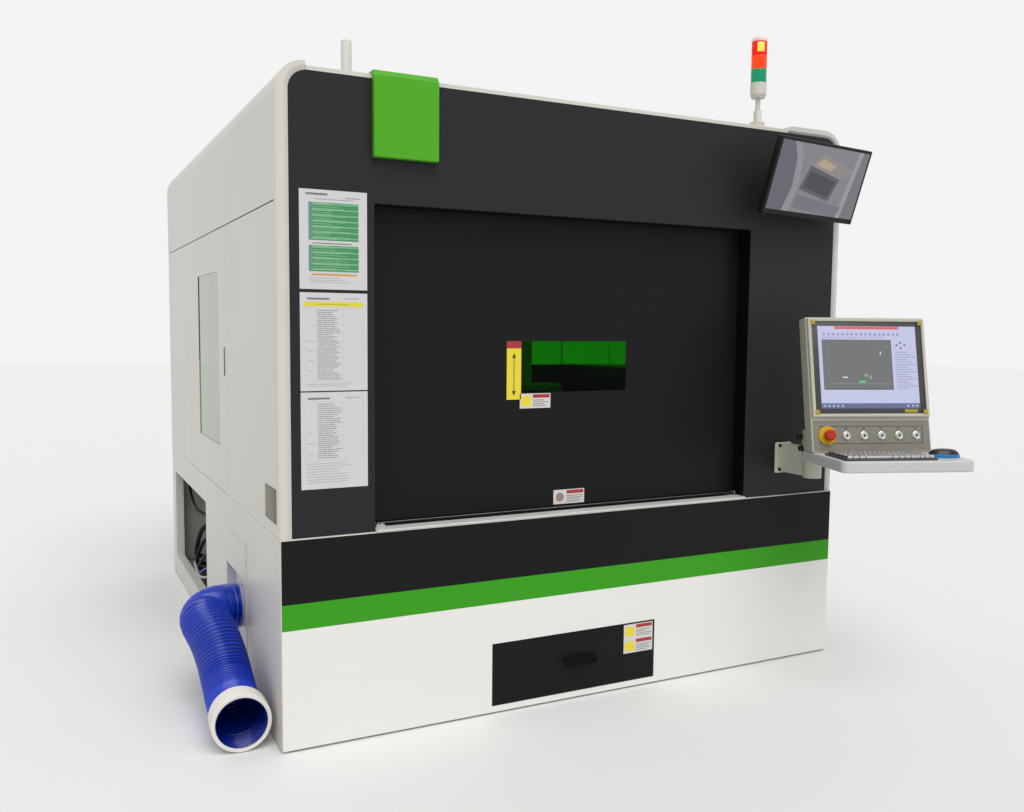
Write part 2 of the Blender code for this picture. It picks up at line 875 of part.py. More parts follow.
def shells():
    lip = side_seam_z + seam_gap / 2
    inner = half_width - side_panel_depth
    near = front_y - rim_proud + rim_depth - 0.004
    centre_z = shell_top_z - corner_radius
    roof_seat = roof_top_z + seat_gap
    end_left = -half_width + left_shell_wrap
    end_right = half_width - right_shell_wrap

    left_profile = [(-inner, lip), (-half_width, lip)]
    left_profile += arc((-half_width + corner_radius, centre_z), corner_radius, 180, 90)
    left_profile += [(end_left, roof_seat)]
    right_profile = [(inner, lip), (half_width, lip)]
    right_profile += arc((half_width - corner_radius, centre_z), corner_radius, 0, 90)
    edge_x = end_right + right_shell_slant
    right_profile += [(edge_x, shell_top_z), (edge_x, roof_seat)]

    for name, profile, side, loop, bevel in (
            ("left_shell", left_profile, -1, left_rim_loop, 0.014),
            ("right_shell", right_profile, 1, right_rim_loop, 0.008)):
        shell = link(name, bent_sheet(name, profile, near, rear_y), shell_white)
        wall_sheet = shell.modifiers.new("sheet", "SOLIDIFY")
        wall_sheet.thickness = sheet
        wall_sheet.offset = side
        wall_sheet.use_even_offset = True
        unite(shell, tool(f"{name}_rim", rim_mesh(f"{name}_rim", loop, bevel)))


# Front door

door_front = front_y + front_panel_depth + door_clearance
door_left = opening_left - door_lap
door_right = opening_right + door_lap
door_bottom = seam_z + sill_rise + door_bottom_gap
door_top = opening_top + door_top_lap
lift_x = opening_left - lift_offset
guide_x = opening_right + lift_offset
door_back = door_front + door_thickness


def front_door():
    lift = joint("door_lift", (opening_centre, door_front, door_bottom), limits=(0, door_travel))
    panel = pan("door_panel", "front", -door_front, rectangle(door_left, door_bottom, door_right, door_top),
                door_thickness, door_sheet, panel_black, lift)
    low = (window_left, door_front - 0.02, window_bottom)
    high = (window_right, door_front + 0.02, window_top)
    cut(panel, box_tool("window_cutout", low, high, lift))
    behind = door_front + door_sheet + seat_gap
    block("door_window", (window_left - window_lap, behind, window_bottom - window_lap),
          (window_right + window_lap, behind + window_thickness, window_top + window_lap),
          green_acrylic, lift)

    bar_low = (lift_x, door_back + seat_gap, carriage_low + carriage_bar_rise)
    bar_high = (guide_x, door_back + seat_gap + carriage_bar_depth,
                carriage_low + carriage_bar_rise + carriage_bar_height)
    carriage = block("door_carriage", bar_low, bar_high, frame_grey, lift)
    for x, radius, label in ((lift_x, lift_radius, "left"), (guide_x, guide_radius, "right")):
        low = (x - carriage_half, lift_y - carriage_half, carriage_low)
        high = (x + carriage_half, door_back + seat_gap + carriage_bar_depth, carriage_low + carriage_height)
        unite(carriage, box_tool(f"carriage_block_{label}", low, high, lift))
    for x, radius, label in ((lift_x, lift_radius, "left"), (guide_x, guide_radius, "right")):
        bore = cylinder_mesh(f"carriage_bore_{label}", radius + guide_bore_clearance, 2 * carriage_height)
        where = (x, lift_y, carriage_low + carriage_height / 2)
        cut(carriage, tool(f"carriage_bore_{label}", bore, where, parent=lift))


def lift_cylinder_and_guide():
    foot = seam_z + seat_gap
    for name, x, radius, top, material in (
            ("lift_cylinder", lift_x, lift_radius, lift_top, bare_steel),
            ("door_guide", guide_x, guide_radius, front_top_z - 0.02, bare_steel)):
        dome = radius * 0.35
        profile = [(0, top), (radius - dome, top), (radius, top - dome), (radius, foot), (0, foot)]
        turned(name, profile, material, (x, lift_y, 0))


# Side service door

def side_door():
    axis = (-half_width - 0.002, side_door_rear + seam_gap / 2, seam_z)
    hinge = joint("side_door_hinge", axis, limits=(-side_door_swing, 0))
    lower = seam_z + seam_gap / 2
    upper = side_seam_z - seam_gap / 2
    panel = pan("side_door_panel", "left", half_width, rectangle(-side_door_rear, lower, -side_door_front
                - seam_gap / 2, upper), side_panel_depth - seat_gap, sheet, shell_white, hinge)
    outer = -half_width - 0.02
    cut(panel, box_tool("side_window_cutout", (outer, side_window_front, side_window_bottom),
                        (-half_width + 0.012, side_window_rear, side_window_top), hinge))
    cup_wall = 0.002
    cup_low = (-half_width + sheet / 2, pull_y - pull_width / 2 - cup_wall, pull_bottom - cup_wall)
    cup_high = (-half_width + pull_recess + cup_wall, pull_y + pull_width / 2 + cup_wall, pull_top + cup_wall)
    unite(panel, box_tool("pull_cup", cup_low, cup_high, hinge))
    cut(panel, box_tool("pull_recess", (outer, pull_y - pull_width / 2, pull_bottom),
                        (-half_width + pull_recess, pull_y + pull_width / 2, pull_top), hinge))
    inner = -half_width + sheet + seat_gap
    block("side_window", (inner, side_window_front - 0.015, side_window_bottom - 0.015),
          (inner + 0.006, side_window_rear + 0.015, side_window_top + 0.015), mirror_acrylic, hinge)


def side_door_frame():
    """Portal of square tube that the side door closes against."""
    outer = -half_width + side_panel_depth + seat_gap
    lap = side_frame_width - 0.025
    low = (outer, side_door_front - lap, seam_z + seat_gap)
    high = (outer + side_frame_tube, side_door_rear + lap, side_seam_z + 0.030)
    frame = block("side_door_frame", low, high, frame_grey)
    cut_low = (outer - 0.02, low[1] + side_frame_width, low[2] + side_frame_width - 0.03)
    cut_high = (high[0] + 0.02, high[1] - side_frame_width, high[2] - side_frame_width)
    cut(frame, box_tool("side_door_clear", cut_low, cut_high))


def rear_bulkhead():
    """Wall behind the cutting room, folded back into the frame of the rear compartment."""
    inner = half_width - side_panel_depth - seat_gap
    foot = seam_z + seat_gap
    outline = [(-inner, foot), (inner, foot), (inner, front_top_z - corner_clear),
               (inner - corner_clear, front_top_z), (corner_clear - inner, front_top_z),
               (-inner, front_top_z - corner_clear)]
    reach = rear_y - bulkhead_y - rear_panel_depth - seat_gap
    pan("rear_bulkhead", "front", -bulkhead_y, outline, reach, bulkhead_sheet, shell_white)


def laser_source():
    low = (laser_left, laser_front, tube + seat_gap)
    high = (laser_left + laser_width, laser_front + laser_length, laser_top)
    block("laser_source", low, high, laser_grey, edge=0.004)


# Exhaust

def exhaust_duct():
    """Plenum on the base frame behind the outlet, with the round collar that the hose slides on."""
    outer = -half_width + duct_set_back
    near = exhaust_front + duct_clearance
    far = exhaust_rear - duct_clearance
    low_z = tube + seat_gap
    high_z = exhaust_top - duct_clearance
    duct = block("exhaust_duct", (outer, near, low_z), (outer + duct_reach, far, high_z), laser_grey)
    rim = cylinder_mesh("collar_outside", collar_radius, collar_length + duct_wall)
    collar_x = outer + duct_wall - (collar_length + duct_wall) / 2
    centre = (collar_x, hose_centre_y, hose_centre_z)
    unite(duct, tool("collar_outside", rim, centre, (0, math.pi / 2, 0)))
    cut(duct, box_tool("duct_inside", (outer + duct_wall, near + duct_wall, low_z + duct_wall),
                       (outer + duct_reach + 0.05, far - duct_wall, high_z - duct_wall)))
    throat = cylinder_mesh("collar_inside", collar_radius - 0.003, 4 * collar_length)
    cut(duct, tool("collar_inside", throat, centre, (0, math.pi / 2, 0)))


def smooth_route(points, spacing):
    """Points a set distance apart on the smooth curve through the route's own points."""
    route = [Vector(point) for point in points]
    ends = [2 * route[0] - route[1]] + route + [2 * route[-1] - route[-2]]
    fine = []
    for before, start, stop, after in zip(ends, ends[1:], ends[2:], ends[3:]):
        for step in range(40):
            t = step / 40
            fine.append(0.5 * (2 * start + (stop - before) * t + (2 * before - 5 * start + 4 * stop - after) * t * t
                               + (3 * start - before - 3 * stop + after) * t ** 3))
    fine.append(route[-1])
    chosen = [fine[0]]
    run = 0.0
    for last, here in zip(fine, fine[1:]):
        run += (here - last).length
        if run >= spacing:
            chosen.append(here)
            run = 0.0
    chosen[-1] = fine[-1]
    return chosen


def tube_path(name, points, radius, sides, capped):
    path = bpy.data.curves.new(name, "CURVE")
    path.dimensions = "3D"
    path.bevel_depth = radius
    path.bevel_resolution = sides
    path.use_fill_caps = capped
    spline = path.splines.new("POLY")
    spline.points.add(len(points) - 1)
    for point, place in zip(spline.points, points):
        point.co = (*place, 1.0)
    return path


def exhaust_hose():
    """Flexible hose over the collar, bent towards the front and down to the floor."""
    start_x = -half_width + duct_set_back - collar_length + hose_lap
    bend_x = -half_width - 0.025
    floor_z = cuff_radius + hose_floor_gap
    centre = (bend_x, hose_centre_y - hose_bend)
    route = [(start_x, hose_centre_y, hose_centre_z), (start_x - 0.018, hose_centre_y, hose_centre_z),
             (bend_x, hose_centre_y, hose_centre_z)]
    for number, (x, y) in enumerate(arc(centre, hose_bend, 90, 180, 4)[1:]):
        route.append((x, y, hose_centre_z - 0.0012 * number ** 2))
    for out, ahead, z in ((0.120, 0.190, 0.240), (0.107, 0.260, 0.190), (0.101, 0.335, 0.132),
                          (0.101, 0.420, floor_z + 0.004), (0.104, 0.510, floor_z), (0.108, 0.610, floor_z)):
        route.append((-half_width - out, hose_centre_y - ahead, z))
    path = tube_path("hose_path", smooth_route(route, 0.040), hose_radius, 8, False)
    guide = bpy.data.objects.new("hose_path", path)
    model.objects.link(guide)
    bpy.context.view_layer.update()
    evaluated = guide.evaluated_get(bpy.context.evaluated_depsgraph_get())
    mesh = bpy.data.meshes.new_from_object(evaluated)
    bpy.data.objects.remove(guide, do_unlink=True)
    form = bmesh.new()
    form.from_mesh(mesh)
    bmesh.ops.remove_doubles(form, verts=form.verts, dist=0.0001)
    bmesh.ops.recalc_face_normals(form, faces=form.faces)
    form.to_mesh(mesh)
    form.free()
    mesh.materials.clear()
    hose = link("exhaust_hose", mesh, hose_blue)
    wall = hose.modifiers.new("wall", "SOLIDIFY")
    wall.thickness = hose_wall
    wall.offset = -1.0
    end = Vector(route[-1])
    run = (end - Vector(route[-2])).normalized()
    cuff = tool("hose_cuff", ring_mesh("hose_cuff", cuff_radius, hose_radius - hose_wall / 2, cuff_length),
                end - run * (cuff_length / 2 - hose_floor_gap), run.to_track_quat("Z", "Y").to_euler())
    unite(hose, cuff)


def service_conduit():
    """Corrugated conduit from the bed down to the laser source."""
    top = seam_z - bed_sheet - 0.001
    route = [(laser_left - 0.120, conduit_y + 0.300, top), (laser_left - 0.120, conduit_y + 0.300, top - 0.040)]
    for out, back, drop in ((0.122, 0.295, 0.092), (0.135, 0.220, 0.252), (0.130, 0.090, 0.372),
                            (0.090, 0.010, 0.412)):
        route.append((laser_left - out, conduit_y + back, top - drop))
    route += [(laser_left - 0.040, conduit_y, conduit_z), (laser_left - 0.001, conduit_y, conduit_z)]
    path = tube_path("service_conduit", smooth_route(route, 0.03), conduit_radius, 2, True)
    path.materials.append(cable_black)
    conduit = bpy.data.objects.new("service_conduit", path)
    model.objects.link(conduit)


# Slat table, chute, drawer

def slat_mesh(name, left, right, low, high):
    """One slat on edge with a saw-toothed top, centred on its own thickness."""
    outline = [(left, low), (right, low)]
    pitch = (right - left) / slat_teeth
    for tooth in range(slat_teeth):
        start = right - tooth * pitch
        outline += [(start, high), (start - pitch / 2, high - slat_tooth)]
    outline.append((left, high))
    return prism_mesh(name, outline, -slat_thickness / 2, slat_thickness / 2)


def slat_table():
    left = well_left - table_lap
    right = well_right + table_lap
    near = well_front - table_lap
    far = well_rear + table_lap
    low_z = seam_z + seat_gap
    table = block("slat_table", (left, near, low_z), (right, far, low_z + table_height), slat_steel)
    inner_left = left + table_tube
    inner_right = right - table_tube
    inner_near = near + table_tube
    inner_far = far - table_tube
    cut(table, box_tool("table_clear", (inner_left, inner_near, low_z - 0.1),
                        (inner_right, inner_far, low_z + 0.2)))
    top = low_z + table_height + slat_rise
    grip = 0.010
    slat = slat_mesh("slat", inner_left - grip, inner_right + grip, top - slat_depth, top)
    form = bmesh.new()
    pitch = (inner_far - inner_near) / slat_count
    for number in range(slat_count):
        before = len(form.verts)
        form.from_mesh(slat)
        form.verts.ensure_lookup_table()
        place = Matrix.Translation((0, inner_near + pitch * (number + 0.5), 0)) @ Matrix.Rotation(
            math.pi / 2, 4, "X")
        bmesh.ops.transform(form, matrix=place, verts=form.verts[before:])
    slats = bpy.data.meshes.new("slats")
    form.to_mesh(slats)
    form.free()
    unite(table, tool("slats", slats))


def scrap_chute():
    """Funnel of sheet from the well down to the drawer."""
    gap = seat_gap
    top_z = seam_z - 0.012
    wide = (well_left + gap, well_front + gap, well_right - gap, well_rear - gap)
    narrow = (drawer_left + 0.045, well_front + 0.005, drawer_right - 0.045, front_y + drawer_depth - 0.05)
    loops = []
    for (left, near, right, far), z in ((wide, top_z), (wide, chute_neck_z), (narrow, chute_mouth_z + 0.02),
                                        (narrow, chute_mouth_z)):
        loops.append([(left, near, z), (right, near, z), (right, far, z), (left, far, z)])
    form = bmesh.new()
    rings = [[form.verts.new(point) for point in loop] for loop in loops]
    for upper, lower in zip(rings, rings[1:]):
        for index in range(4):
            following = (index + 1) % 4
            form.faces.new((upper[following], upper[index], lower[index], lower[following]))
    mesh = bpy.data.meshes.new("scrap_chute")
    form.to_mesh(mesh)
    form.free()
    chute = link("scrap_chute", mesh, bare_steel)
    wall_sheet = chute.modifiers.new("sheet", "SOLIDIFY")
    wall_sheet.thickness = chute_sheet
    wall_sheet.offset = -1.0
    wall_sheet.use_even_offset = True


def drawer_bay():
    """Channel that the drawer slides in, lying on the base frame."""
    left = drawer_left + drawer_side_inset - bay_clearance
    right = drawer_right - drawer_side_inset + bay_clearance
    near = frame_front + bay_clearance
    far = cross_member_y[0] + tube / 2
    low_z = tube + seat_gap
    bay = block("drawer_bay", (left - bay_sheet, near, low_z), (right + bay_sheet, far, low_z + bay_height),
                bare_steel)
    cut(bay, box_tool("bay_clear", (left, near - bay_height, low_z + bay_sheet),
                      (right, far - bay_sheet, low_z + 2 * bay_height)))


def scrap_drawer():
    front = front_y - lower_proud
    slide = joint("drawer_slide", ((drawer_left + drawer_right) / 2, front, drawer_bottom),
                  limits=(0, drawer_travel))
    back = front + drawer_front_thickness
    drawer = block("scrap_drawer", (drawer_left, front, drawer_bottom), (drawer_right, back, drawer_top),
                   panel_black, slide)
    left = drawer_left + drawer_side_inset
    right = drawer_right - drawer_side_inset
    low_z = tube + 0.004
    unite(drawer, box_tool("tray_outside", (left, back - 0.004, low_z),
                           (right, back + drawer_depth, drawer_top - 0.015), slide))
    cut(drawer, box_tool("tray_inside", (left + drawer_sheet, back, low_z + drawer_sheet),
                         (right - drawer_sheet, back + drawer_depth - drawer_sheet, drawer_top + 0.05), slide))
    reach = drawer_pull_reach
    top = drawer_pull_top
    bottom = drawer_pull_bottom
    lip = 0.003
    hook = [(0.004, top), (-reach, top), (-reach, bottom + 0.012), (-reach + lip, bottom + 0.012),
            (-reach + lip, top - lip), (0.004, top - lip)]
    pull = prism_mesh("drawer_pull", hook, drawer_pull_left, drawer_pull_right)
    turn = Matrix(((0, 0, 1), (1, 0, 0), (0, 1, 0))).to_euler()
    unite(drawer, tool("drawer_pull", pull, (0, front, 0), turn, slide))


# Gantry, carriage, head

def gantry():
    travel = joint("gantry_travel", (opening_centre, gantry_y, gantry_bottom), limits=(-gantry_travel, 0))
    half = gantry_depth / 2
    reach = rail_offset + 0.055
    beam = block("gantry_beam", (opening_centre - reach, gantry_y - half, gantry_bottom),
                 (opening_centre + reach, gantry_y + half, gantry_bottom + gantry_height), shell_white, travel,
                 edge=0.006)
    for side in (-1, 1):
        x = opening_centre + side * rail_offset
        foot_low = (x - gantry_foot_length / 2, gantry_y - half + 0.01, seam_z + rail_height + seat_gap)
        foot_high = (x + gantry_foot_length / 2, gantry_y + half - 0.01, gantry_bottom + 0.02)
        unite(beam, box_tool(f"gantry_foot_{side}", foot_low, foot_high, travel))

    across = joint("carriage_travel", (carriage_x, gantry_y - half, gantry_bottom), travel,
                   limits=(0, carriage_travel))
    front = gantry_y - half - seat_gap
    plate_low = (carriage_x - carriage_width / 2, front - carriage_plate, gantry_bottom + 0.02)
    plate_high = (carriage_x + carriage_width / 2, front, gantry_bottom + gantry_height + carriage_upstand)
    block("head_carriage", plate_low, plate_high, frame_grey, across, edge=0.004)

    lift = joint("head_lift", (carriage_x, front - carriage_plate, head_bottom), across,
                 limits=(-head_travel, 0))
    back = front - carriage_plate - seat_gap
    head = block("cutting_head", (carriage_x - head_width / 2, back - head_depth, head_bottom),
                 (carriage_x + head_width / 2, back, head_top), head_dark, lift, edge=0.006)
    axis_y = back - head_depth / 2
    barrel_top = head_bottom + 0.01
    profile = [(0, barrel_top), (0.036, barrel_top), (0.036, head_bottom - 0.045), (0.024, head_bottom - 0.060),
               (0.014, nozzle_tip + 0.018), (0.004, nozzle_tip), (0, nozzle_tip)]
    nozzle = turned("nozzle_form", profile, head_dark, (carriage_x, axis_y, 0), lift)
    model.objects.unlink(nozzle)
    cutters.objects.link(nozzle)
    nozzle.hide_render = True
    nozzle.display_type = "WIRE"
    unite(head, nozzle)


# Badge and stack light

def badge():
    """Green cover hooked over the front edge of the roof."""
    face = front_y - badge_proud
    hood_z = roof_top_z + badge_hood
    profile = [(front_y - seat_gap, badge_bottom), (face, badge_bottom), (face, hood_z - 0.018),
               (face + 0.012, hood_z), (front_y + badge_reach, hood_z),
               (front_y + badge_reach, roof_top_z + seat_gap), (front_y - seat_gap, roof_top_z + seat_gap)]
    mesh = prism_mesh("badge_plate", profile, badge_left, badge_right)
    turn = Matrix(((0, 0, 1), (1, 0, 0), (0, 1, 0))).to_euler()
    soften(link("badge_plate", mesh, badge_green, (0, 0, 0), turn), 0.003, 2)


def stack_light():
    foot = roof_top_z + seat_gap
    bracket = foot + light_foot_height
    pole = bracket + light_bracket_height
    base = pole + light_pole_height
    top = base + light_base_height
    profile = [(0, top), (light_base_radius, top), (light_base_radius, base + 0.012),
               (light_base_radius - 0.006, base), (light_pole_radius, base), (light_pole_radius, pole),
               (light_bracket_radius, pole), (light_bracket_radius, bracket), (light_foot_radius, bracket),
               (light_foot_radius, foot), (0, foot)]
    turned("stack_light_stem", profile, lamp_white, (light_x, light_y, 0))
    level = top
    for name, material in (("green_lens", lens_green), ("amber_lens", lens_amber), ("red_lens", lens_red)):
        low = level + seat_gap
        level = low + lens_height
        edge = 0.002
        profile = [(0, level), (lens_radius - edge, level), (lens_radius, level - edge),
                   (lens_radius, low + edge), (lens_radius - edge, low), (0, low)]
        turned(name, profile, material, (light_x, light_y, 0))
    low = level + seat_gap
    crown = low + light_cap_height
    profile = [(0, crown), (lens_radius * 0.55, crown - 0.001), (lens_radius * 0.86, crown - 0.006),
               (lens_radius, crown - 0.014), (lens_radius, low), (0, low)]
    turned("stack_light_cap", profile, lamp_white, (light_x, light_y, 0))


# Wall monitor

def wall_monitor():
    plate = 0.012
    half = 0.040
    near = front_y - seat_gap
    bracket = block("monitor_bracket", (monitor_x - half, near - plate, monitor_z - half),
                    (monitor_x + half, near, monitor_z + half), monitor_black, edge=0.003)
    ear = 0.020
    unite(bracket, box_tool("monitor_knuckle", (monitor_x - 0.010, monitor_swivel_y, monitor_z - ear),
                            (monitor_x + 0.010, near - plate / 2, monitor_z + ear)))
    pin = cylinder_mesh("monitor_pin", monitor_pin_radius, 2 * ear)
    unite(bracket, tool("monitor_pin", pin, (monitor_x, monitor_swivel_y, monitor_z)))

    swivel = joint("monitor_swivel", (monitor_x, monitor_swivel_y, monitor_z), limits=monitor_swivel_limits)
    tilt_y = monitor_swivel_y - monitor_arm_reach
    cheek = 0.008
    web_near = tilt_y + 0.012
    web_far = monitor_swivel_y - monitor_pin_radius - 0.004
    arm = block("monitor_arm", (monitor_x - 0.016, web_near, monitor_z - ear - cheek),
                (monitor_x + 0.016, web_far, monitor_z + ear + cheek), monitor_black, swivel)
    for side in (-1, 1):
        inner = monitor_z + side * (ear + seat_gap)
        outer = monitor_z + side * (ear + cheek)
        low_z, high_z = sorted((inner, outer))
        unite(arm, box_tool(f"monitor_cheek_{side}", (monitor_x - 0.016, web_far - 0.004, low_z),
                            (monitor_x + 0.016, monitor_swivel_y + 0.014, high_z), swivel))
    barrel_half = 0.030
    barrel = cylinder_mesh("tilt_barrel", 0.009, 2 * barrel_half)
    unite(arm, tool("tilt_barrel", barrel, (monitor_x, tilt_y, monitor_z), (0, math.pi / 2, 0), swivel))
    unite(arm, box_tool("tilt_web", (monitor_x - 0.014, tilt_y, monitor_z - 0.008),
                        (monitor_x + 0.014, web_near + 0.004, monitor_z + 0.008), swivel))

    tilt = joint("monitor_tilt", (monitor_x, tilt_y, monitor_z), swivel, limits=monitor_tilt_limits)
    face = joint("monitor_face", (0, 0, 0), tilt, local=True)
    turn = Matrix.Rotation(monitor_yaw, 3, "Z") @ Matrix.Rotation(monitor_tilt, 3, "X")
    face.rotation_euler = (turn @ Matrix.Rotation(monitor_roll, 3, "Y")).to_euler()
    bpy.context.view_layer.update()
    back = -monitor_lug_reach
    front = back - monitor_thickness
    half_w = monitor_width / 2
    half_h = monitor_height / 2
    housing = block("monitor_housing", (-half_w, front, -half_h), (half_w, back, half_h), monitor_black, face,
                    local=True, edge=0.003)
    for side in (-1, 1):
        near_x = side * (barrel_half + seat_gap + 0.0005)
        far_x = side * (barrel_half + 0.009)
        low_x, high_x = sorted((near_x, far_x))
        unite(housing, box_tool(f"tilt_lug_{side}", (low_x, back - 0.004, -0.014), (high_x, 0.010, 0.014),
                                face, True))
    pocket = 0.003
    cut(housing, box_tool("monitor_pocket", (-half_w + monitor_bezel, front - 0.02, -half_h + monitor_chin),
                          (half_w - monitor_bezel, front + pocket, half_h - monitor_bezel), face, True))
    gap = seat_gap
    block("monitor_screen",
          (-half_w + monitor_bezel + gap, front + 0.001, -half_h + monitor_chin + gap),
          (half_w - monitor_bezel - gap, front + pocket - gap, half_h - monitor_bezel - gap), screen_black,
          face, local=True)


# Operator console

def console_bracket():
    """Cast wall bracket with the boss that the console swivels on."""
    near = front_y - seat_gap
    bracket = block("console_bracket", (bracket_left, near - bracket_plate, bracket_bottom),
                    (bracket_right, near, bracket_top), console_beige, edge=0.004)
    unite(bracket, box_tool("bracket_arm", (pivot_x - 0.020, pivot_y, bracket_bottom + 0.006),
                            (pivot_x + 0.030, near - bracket_plate / 2, bracket_top - 0.006)))
    boss = cylinder_mesh("bracket_boss", pivot_radius, bracket_top - bracket_bottom - 0.004)
    unite(bracket, tool("bracket_boss", boss, (pivot_x, pivot_y, (bracket_top + bracket_bottom) / 2)))


def console():
    swivel = joint("console_swivel", (pivot_x, pivot_y, bracket_top), limits=console_swivel_limits)
    body = joint("console_body", (console_x, console_y, console_z), swivel, (0, 0, console_yaw))
    face = joint("console_face", (0, 0, 0), body, (-console_tilt, 0, 0), local=True)
    lean = math.tan(console_tilt)
    floor = tray_top + seat_gap - console_z
    front_top = Vector((console_above * math.sin(console_tilt), console_above * math.cos(console_tilt)))
    inward = Vector((math.cos(console_tilt), -math.sin(console_tilt))) * console_depth
    back_top = front_top + inward
    back_floor = floor * lean + console_depth / math.cos(console_tilt)
    side_view = [(floor * lean, floor), tuple(front_top), tuple(back_top), (back_floor, floor)]
    mesh = prism_mesh("console_housing", side_view, -console_width / 2, console_width / 2)
    stand = Matrix(((0, 0, 1), (1, 0, 0), (0, 1, 0)))
    housing = soften(link("console_housing", mesh, console_beige, (0, 0, 0), stand.to_euler(), body, True),
                     0.005, 2)

    half_w = screen_outer_width / 2
    half_h = screen_outer_height / 2
    border = console_width / 2 - half_w - 0.004
    raised = box_tool("screen_surround", (-half_w - border, -frame_raise, -half_h - border),
                      (half_w + border, 0.004, half_h + border), face, True)
    soften(raised, 0.004, 2)
    unite(housing, raised)
    pocket_back = -frame_raise + screen_sink + screen_thickness + seat_gap
    cut(housing, box_tool("screen_pocket", (-half_w, -frame_raise - 0.02, -half_h),
                          (half_w, pocket_back, half_h), face, True))
    for number, x in enumerate(button_places()):
        bore = cylinder_mesh(f"button_hole_{number}", button_radius + 0.0005, 2 * button_length)
        cut(housing, tool(f"button_hole_{number}", bore, (x, 0, button_row_z), (math.pi / 2, 0, 0), face, True))
    bore = cylinder_mesh("estop_hole", estop_stem_radius + 0.0005, 2 * (estop_stem_sink + 0.008))
    cut(housing, tool("estop_hole", bore, (estop_x, 0, button_row_z), (math.pi / 2, 0, 0), face, True))

    neck_back = pivot_offset().y
    neck_low = (pivot_offset().x - neck_width / 2, floor * lean + console_depth - 0.02, floor)
    neck_high = (pivot_offset().x + neck_width / 2, neck_back, floor + neck_height)
    unite(housing, box_tool("neck", neck_low, neck_high, body, True))
    hub = cylinder_mesh("neck_hub", neck_width / 2, neck_height)
    unite(housing, tool("neck_hub", hub, (pivot_offset().x, neck_back, floor + neck_height / 2), parent=body,
                        local=True))

    gap = seat_gap
    block("console_screen", (-half_w + gap, -frame_raise + screen_sink, -half_h + gap),
          (half_w - gap, pocket_back - gap, half_h - gap), screen_black, face, local=True, edge=0.001)

    tray_z = tray_top - console_z
    left_corner = (tray_left + tray_corner, tray_front + tray_corner)
    right_corner = (tray_right - tray_corner, tray_front + tray_corner)
    outline = [(tray_right, tray_rear), (tray_left, tray_rear)] + arc(left_corner, tray_corner, 180, 270)
    outline += arc(right_corner, tray_corner, 270, 360)
    mesh = prism_mesh("keyboard_tray", outline, tray_z - tray_thickness, tray_z)
    soften(link("keyboard_tray", mesh, console_beige, (0, 0, 0), (0, 0, 0), body, True), 0.006, 2)
    key_z = tray_z + gap
    block("keyboard", (keyboard_left, keyboard_front, key_z),
          (keyboard_left + keyboard_width, keyboard_front + keyboard_depth, key_z + keyboard_height),
          key_silver, body, local=True, edge=0.004)
    mouse(body, key_z)
    operator_buttons(face)


def pivot_offset():
    """The swivel axis as seen from the screen centre, in the console's own directions."""
    return Matrix.Rotation(-console_yaw, 3, "Z") @ Vector((pivot_x - console_x, pivot_y - console_y, 0))


def button_places():
    return [button_first_x + button_pitch * number for number in range(button_count)]


def mouse(body, floor):
    size_x, size_y, size_z = mouse_size
    form = bmesh.new()
    bmesh.ops.create_uvsphere(form, u_segments=20, v_segments=12, radius=0.5)
    bmesh.ops.transform(form, matrix=Matrix.Diagonal((size_x, size_y, 2 * size_z, 1)), verts=form.verts)
    cut_plane = form.verts[:] + form.edges[:] + form.faces[:]
    bmesh.ops.bisect_plane(form, geom=cut_plane, plane_co=(0, 0, 0), plane_no=(0, 0, -1), clear_outer=True)
    rim = [edge for edge in form.edges if edge.is_boundary]
    bmesh.ops.contextual_create(form, geom=rim)
    link("mouse", to_mesh(form, "mouse"), mouse_black, (mouse_x, mouse_y, floor), parent=body, local=True)


def operator_buttons(face):
    """Emergency stop with its yellow collar, and the row of push-buttons."""
    outward = (math.pi / 2, 0, 0)
    gap = seat_gap
    bore = estop_stem_radius + 0.0005
    profile = [(bore, gap), (bore, gap + collar_disc_height), (collar_disc_radius - 0.003, gap + collar_disc_height),
               (collar_disc_radius, gap + 0.003), (collar_disc_radius, gap), (bore, gap)]
    turned("estop_collar", profile, stop_yellow, (estop_x, 0, button_row_z), face, True, outward)

    head_low = gap + collar_disc_height + estop_gap
    head_high = head_low + estop_head
    profile = [(0, head_high), (estop_radius - 0.006, head_high), (estop_radius, head_high - 0.005),
               (estop_radius, head_low + 0.003), (estop_radius - 0.003, head_low),
               (estop_stem_radius, head_low), (estop_stem_radius, -estop_stem_sink), (0, -estop_stem_sink)]
    press = joint("estop_press", (estop_x, 0, button_row_z), face, local=True, limits=(0, estop_travel))
    turned("estop_button", profile, stop_red, (0, 0, 0), press, True, outward)

    for number, x in enumerate(button_places(), 1):
        press = joint(f"button_{number}_press", (x, 0, button_row_z), face, local=True,
                      limits=(0, button_travel))
        profile = [(0, button_proud), (button_radius - 0.002, button_proud),
                   (button_radius, button_proud - 0.002), (button_radius, -0.010), (0, -0.010)]
        turned(f"button_{number}", profile, button_white, (0, 0, 0), press, True, outward)


base_frame()
bed_frame()
front_posts()
lower_panels()
exhaust_cover()
upper_side_panels()
rear_panel()
upper_front_panel()
door_sill()
roof_panel()
shells()
front_door()
lift_cylinder_and_guide()
side_door()
side_door_frame()
rear_bulkhead()
laser_source()
exhaust_duct()
exhaust_hose()
service_conduit()
slat_table()
scrap_chute()
drawer_bay()
scrap_drawer()
gantry()
badge()
stack_light()
wall_monitor()
console_bracket()
console()
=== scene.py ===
import json
import math
import random

import bmesh
import bpy
from mathutils import Matrix, Vector

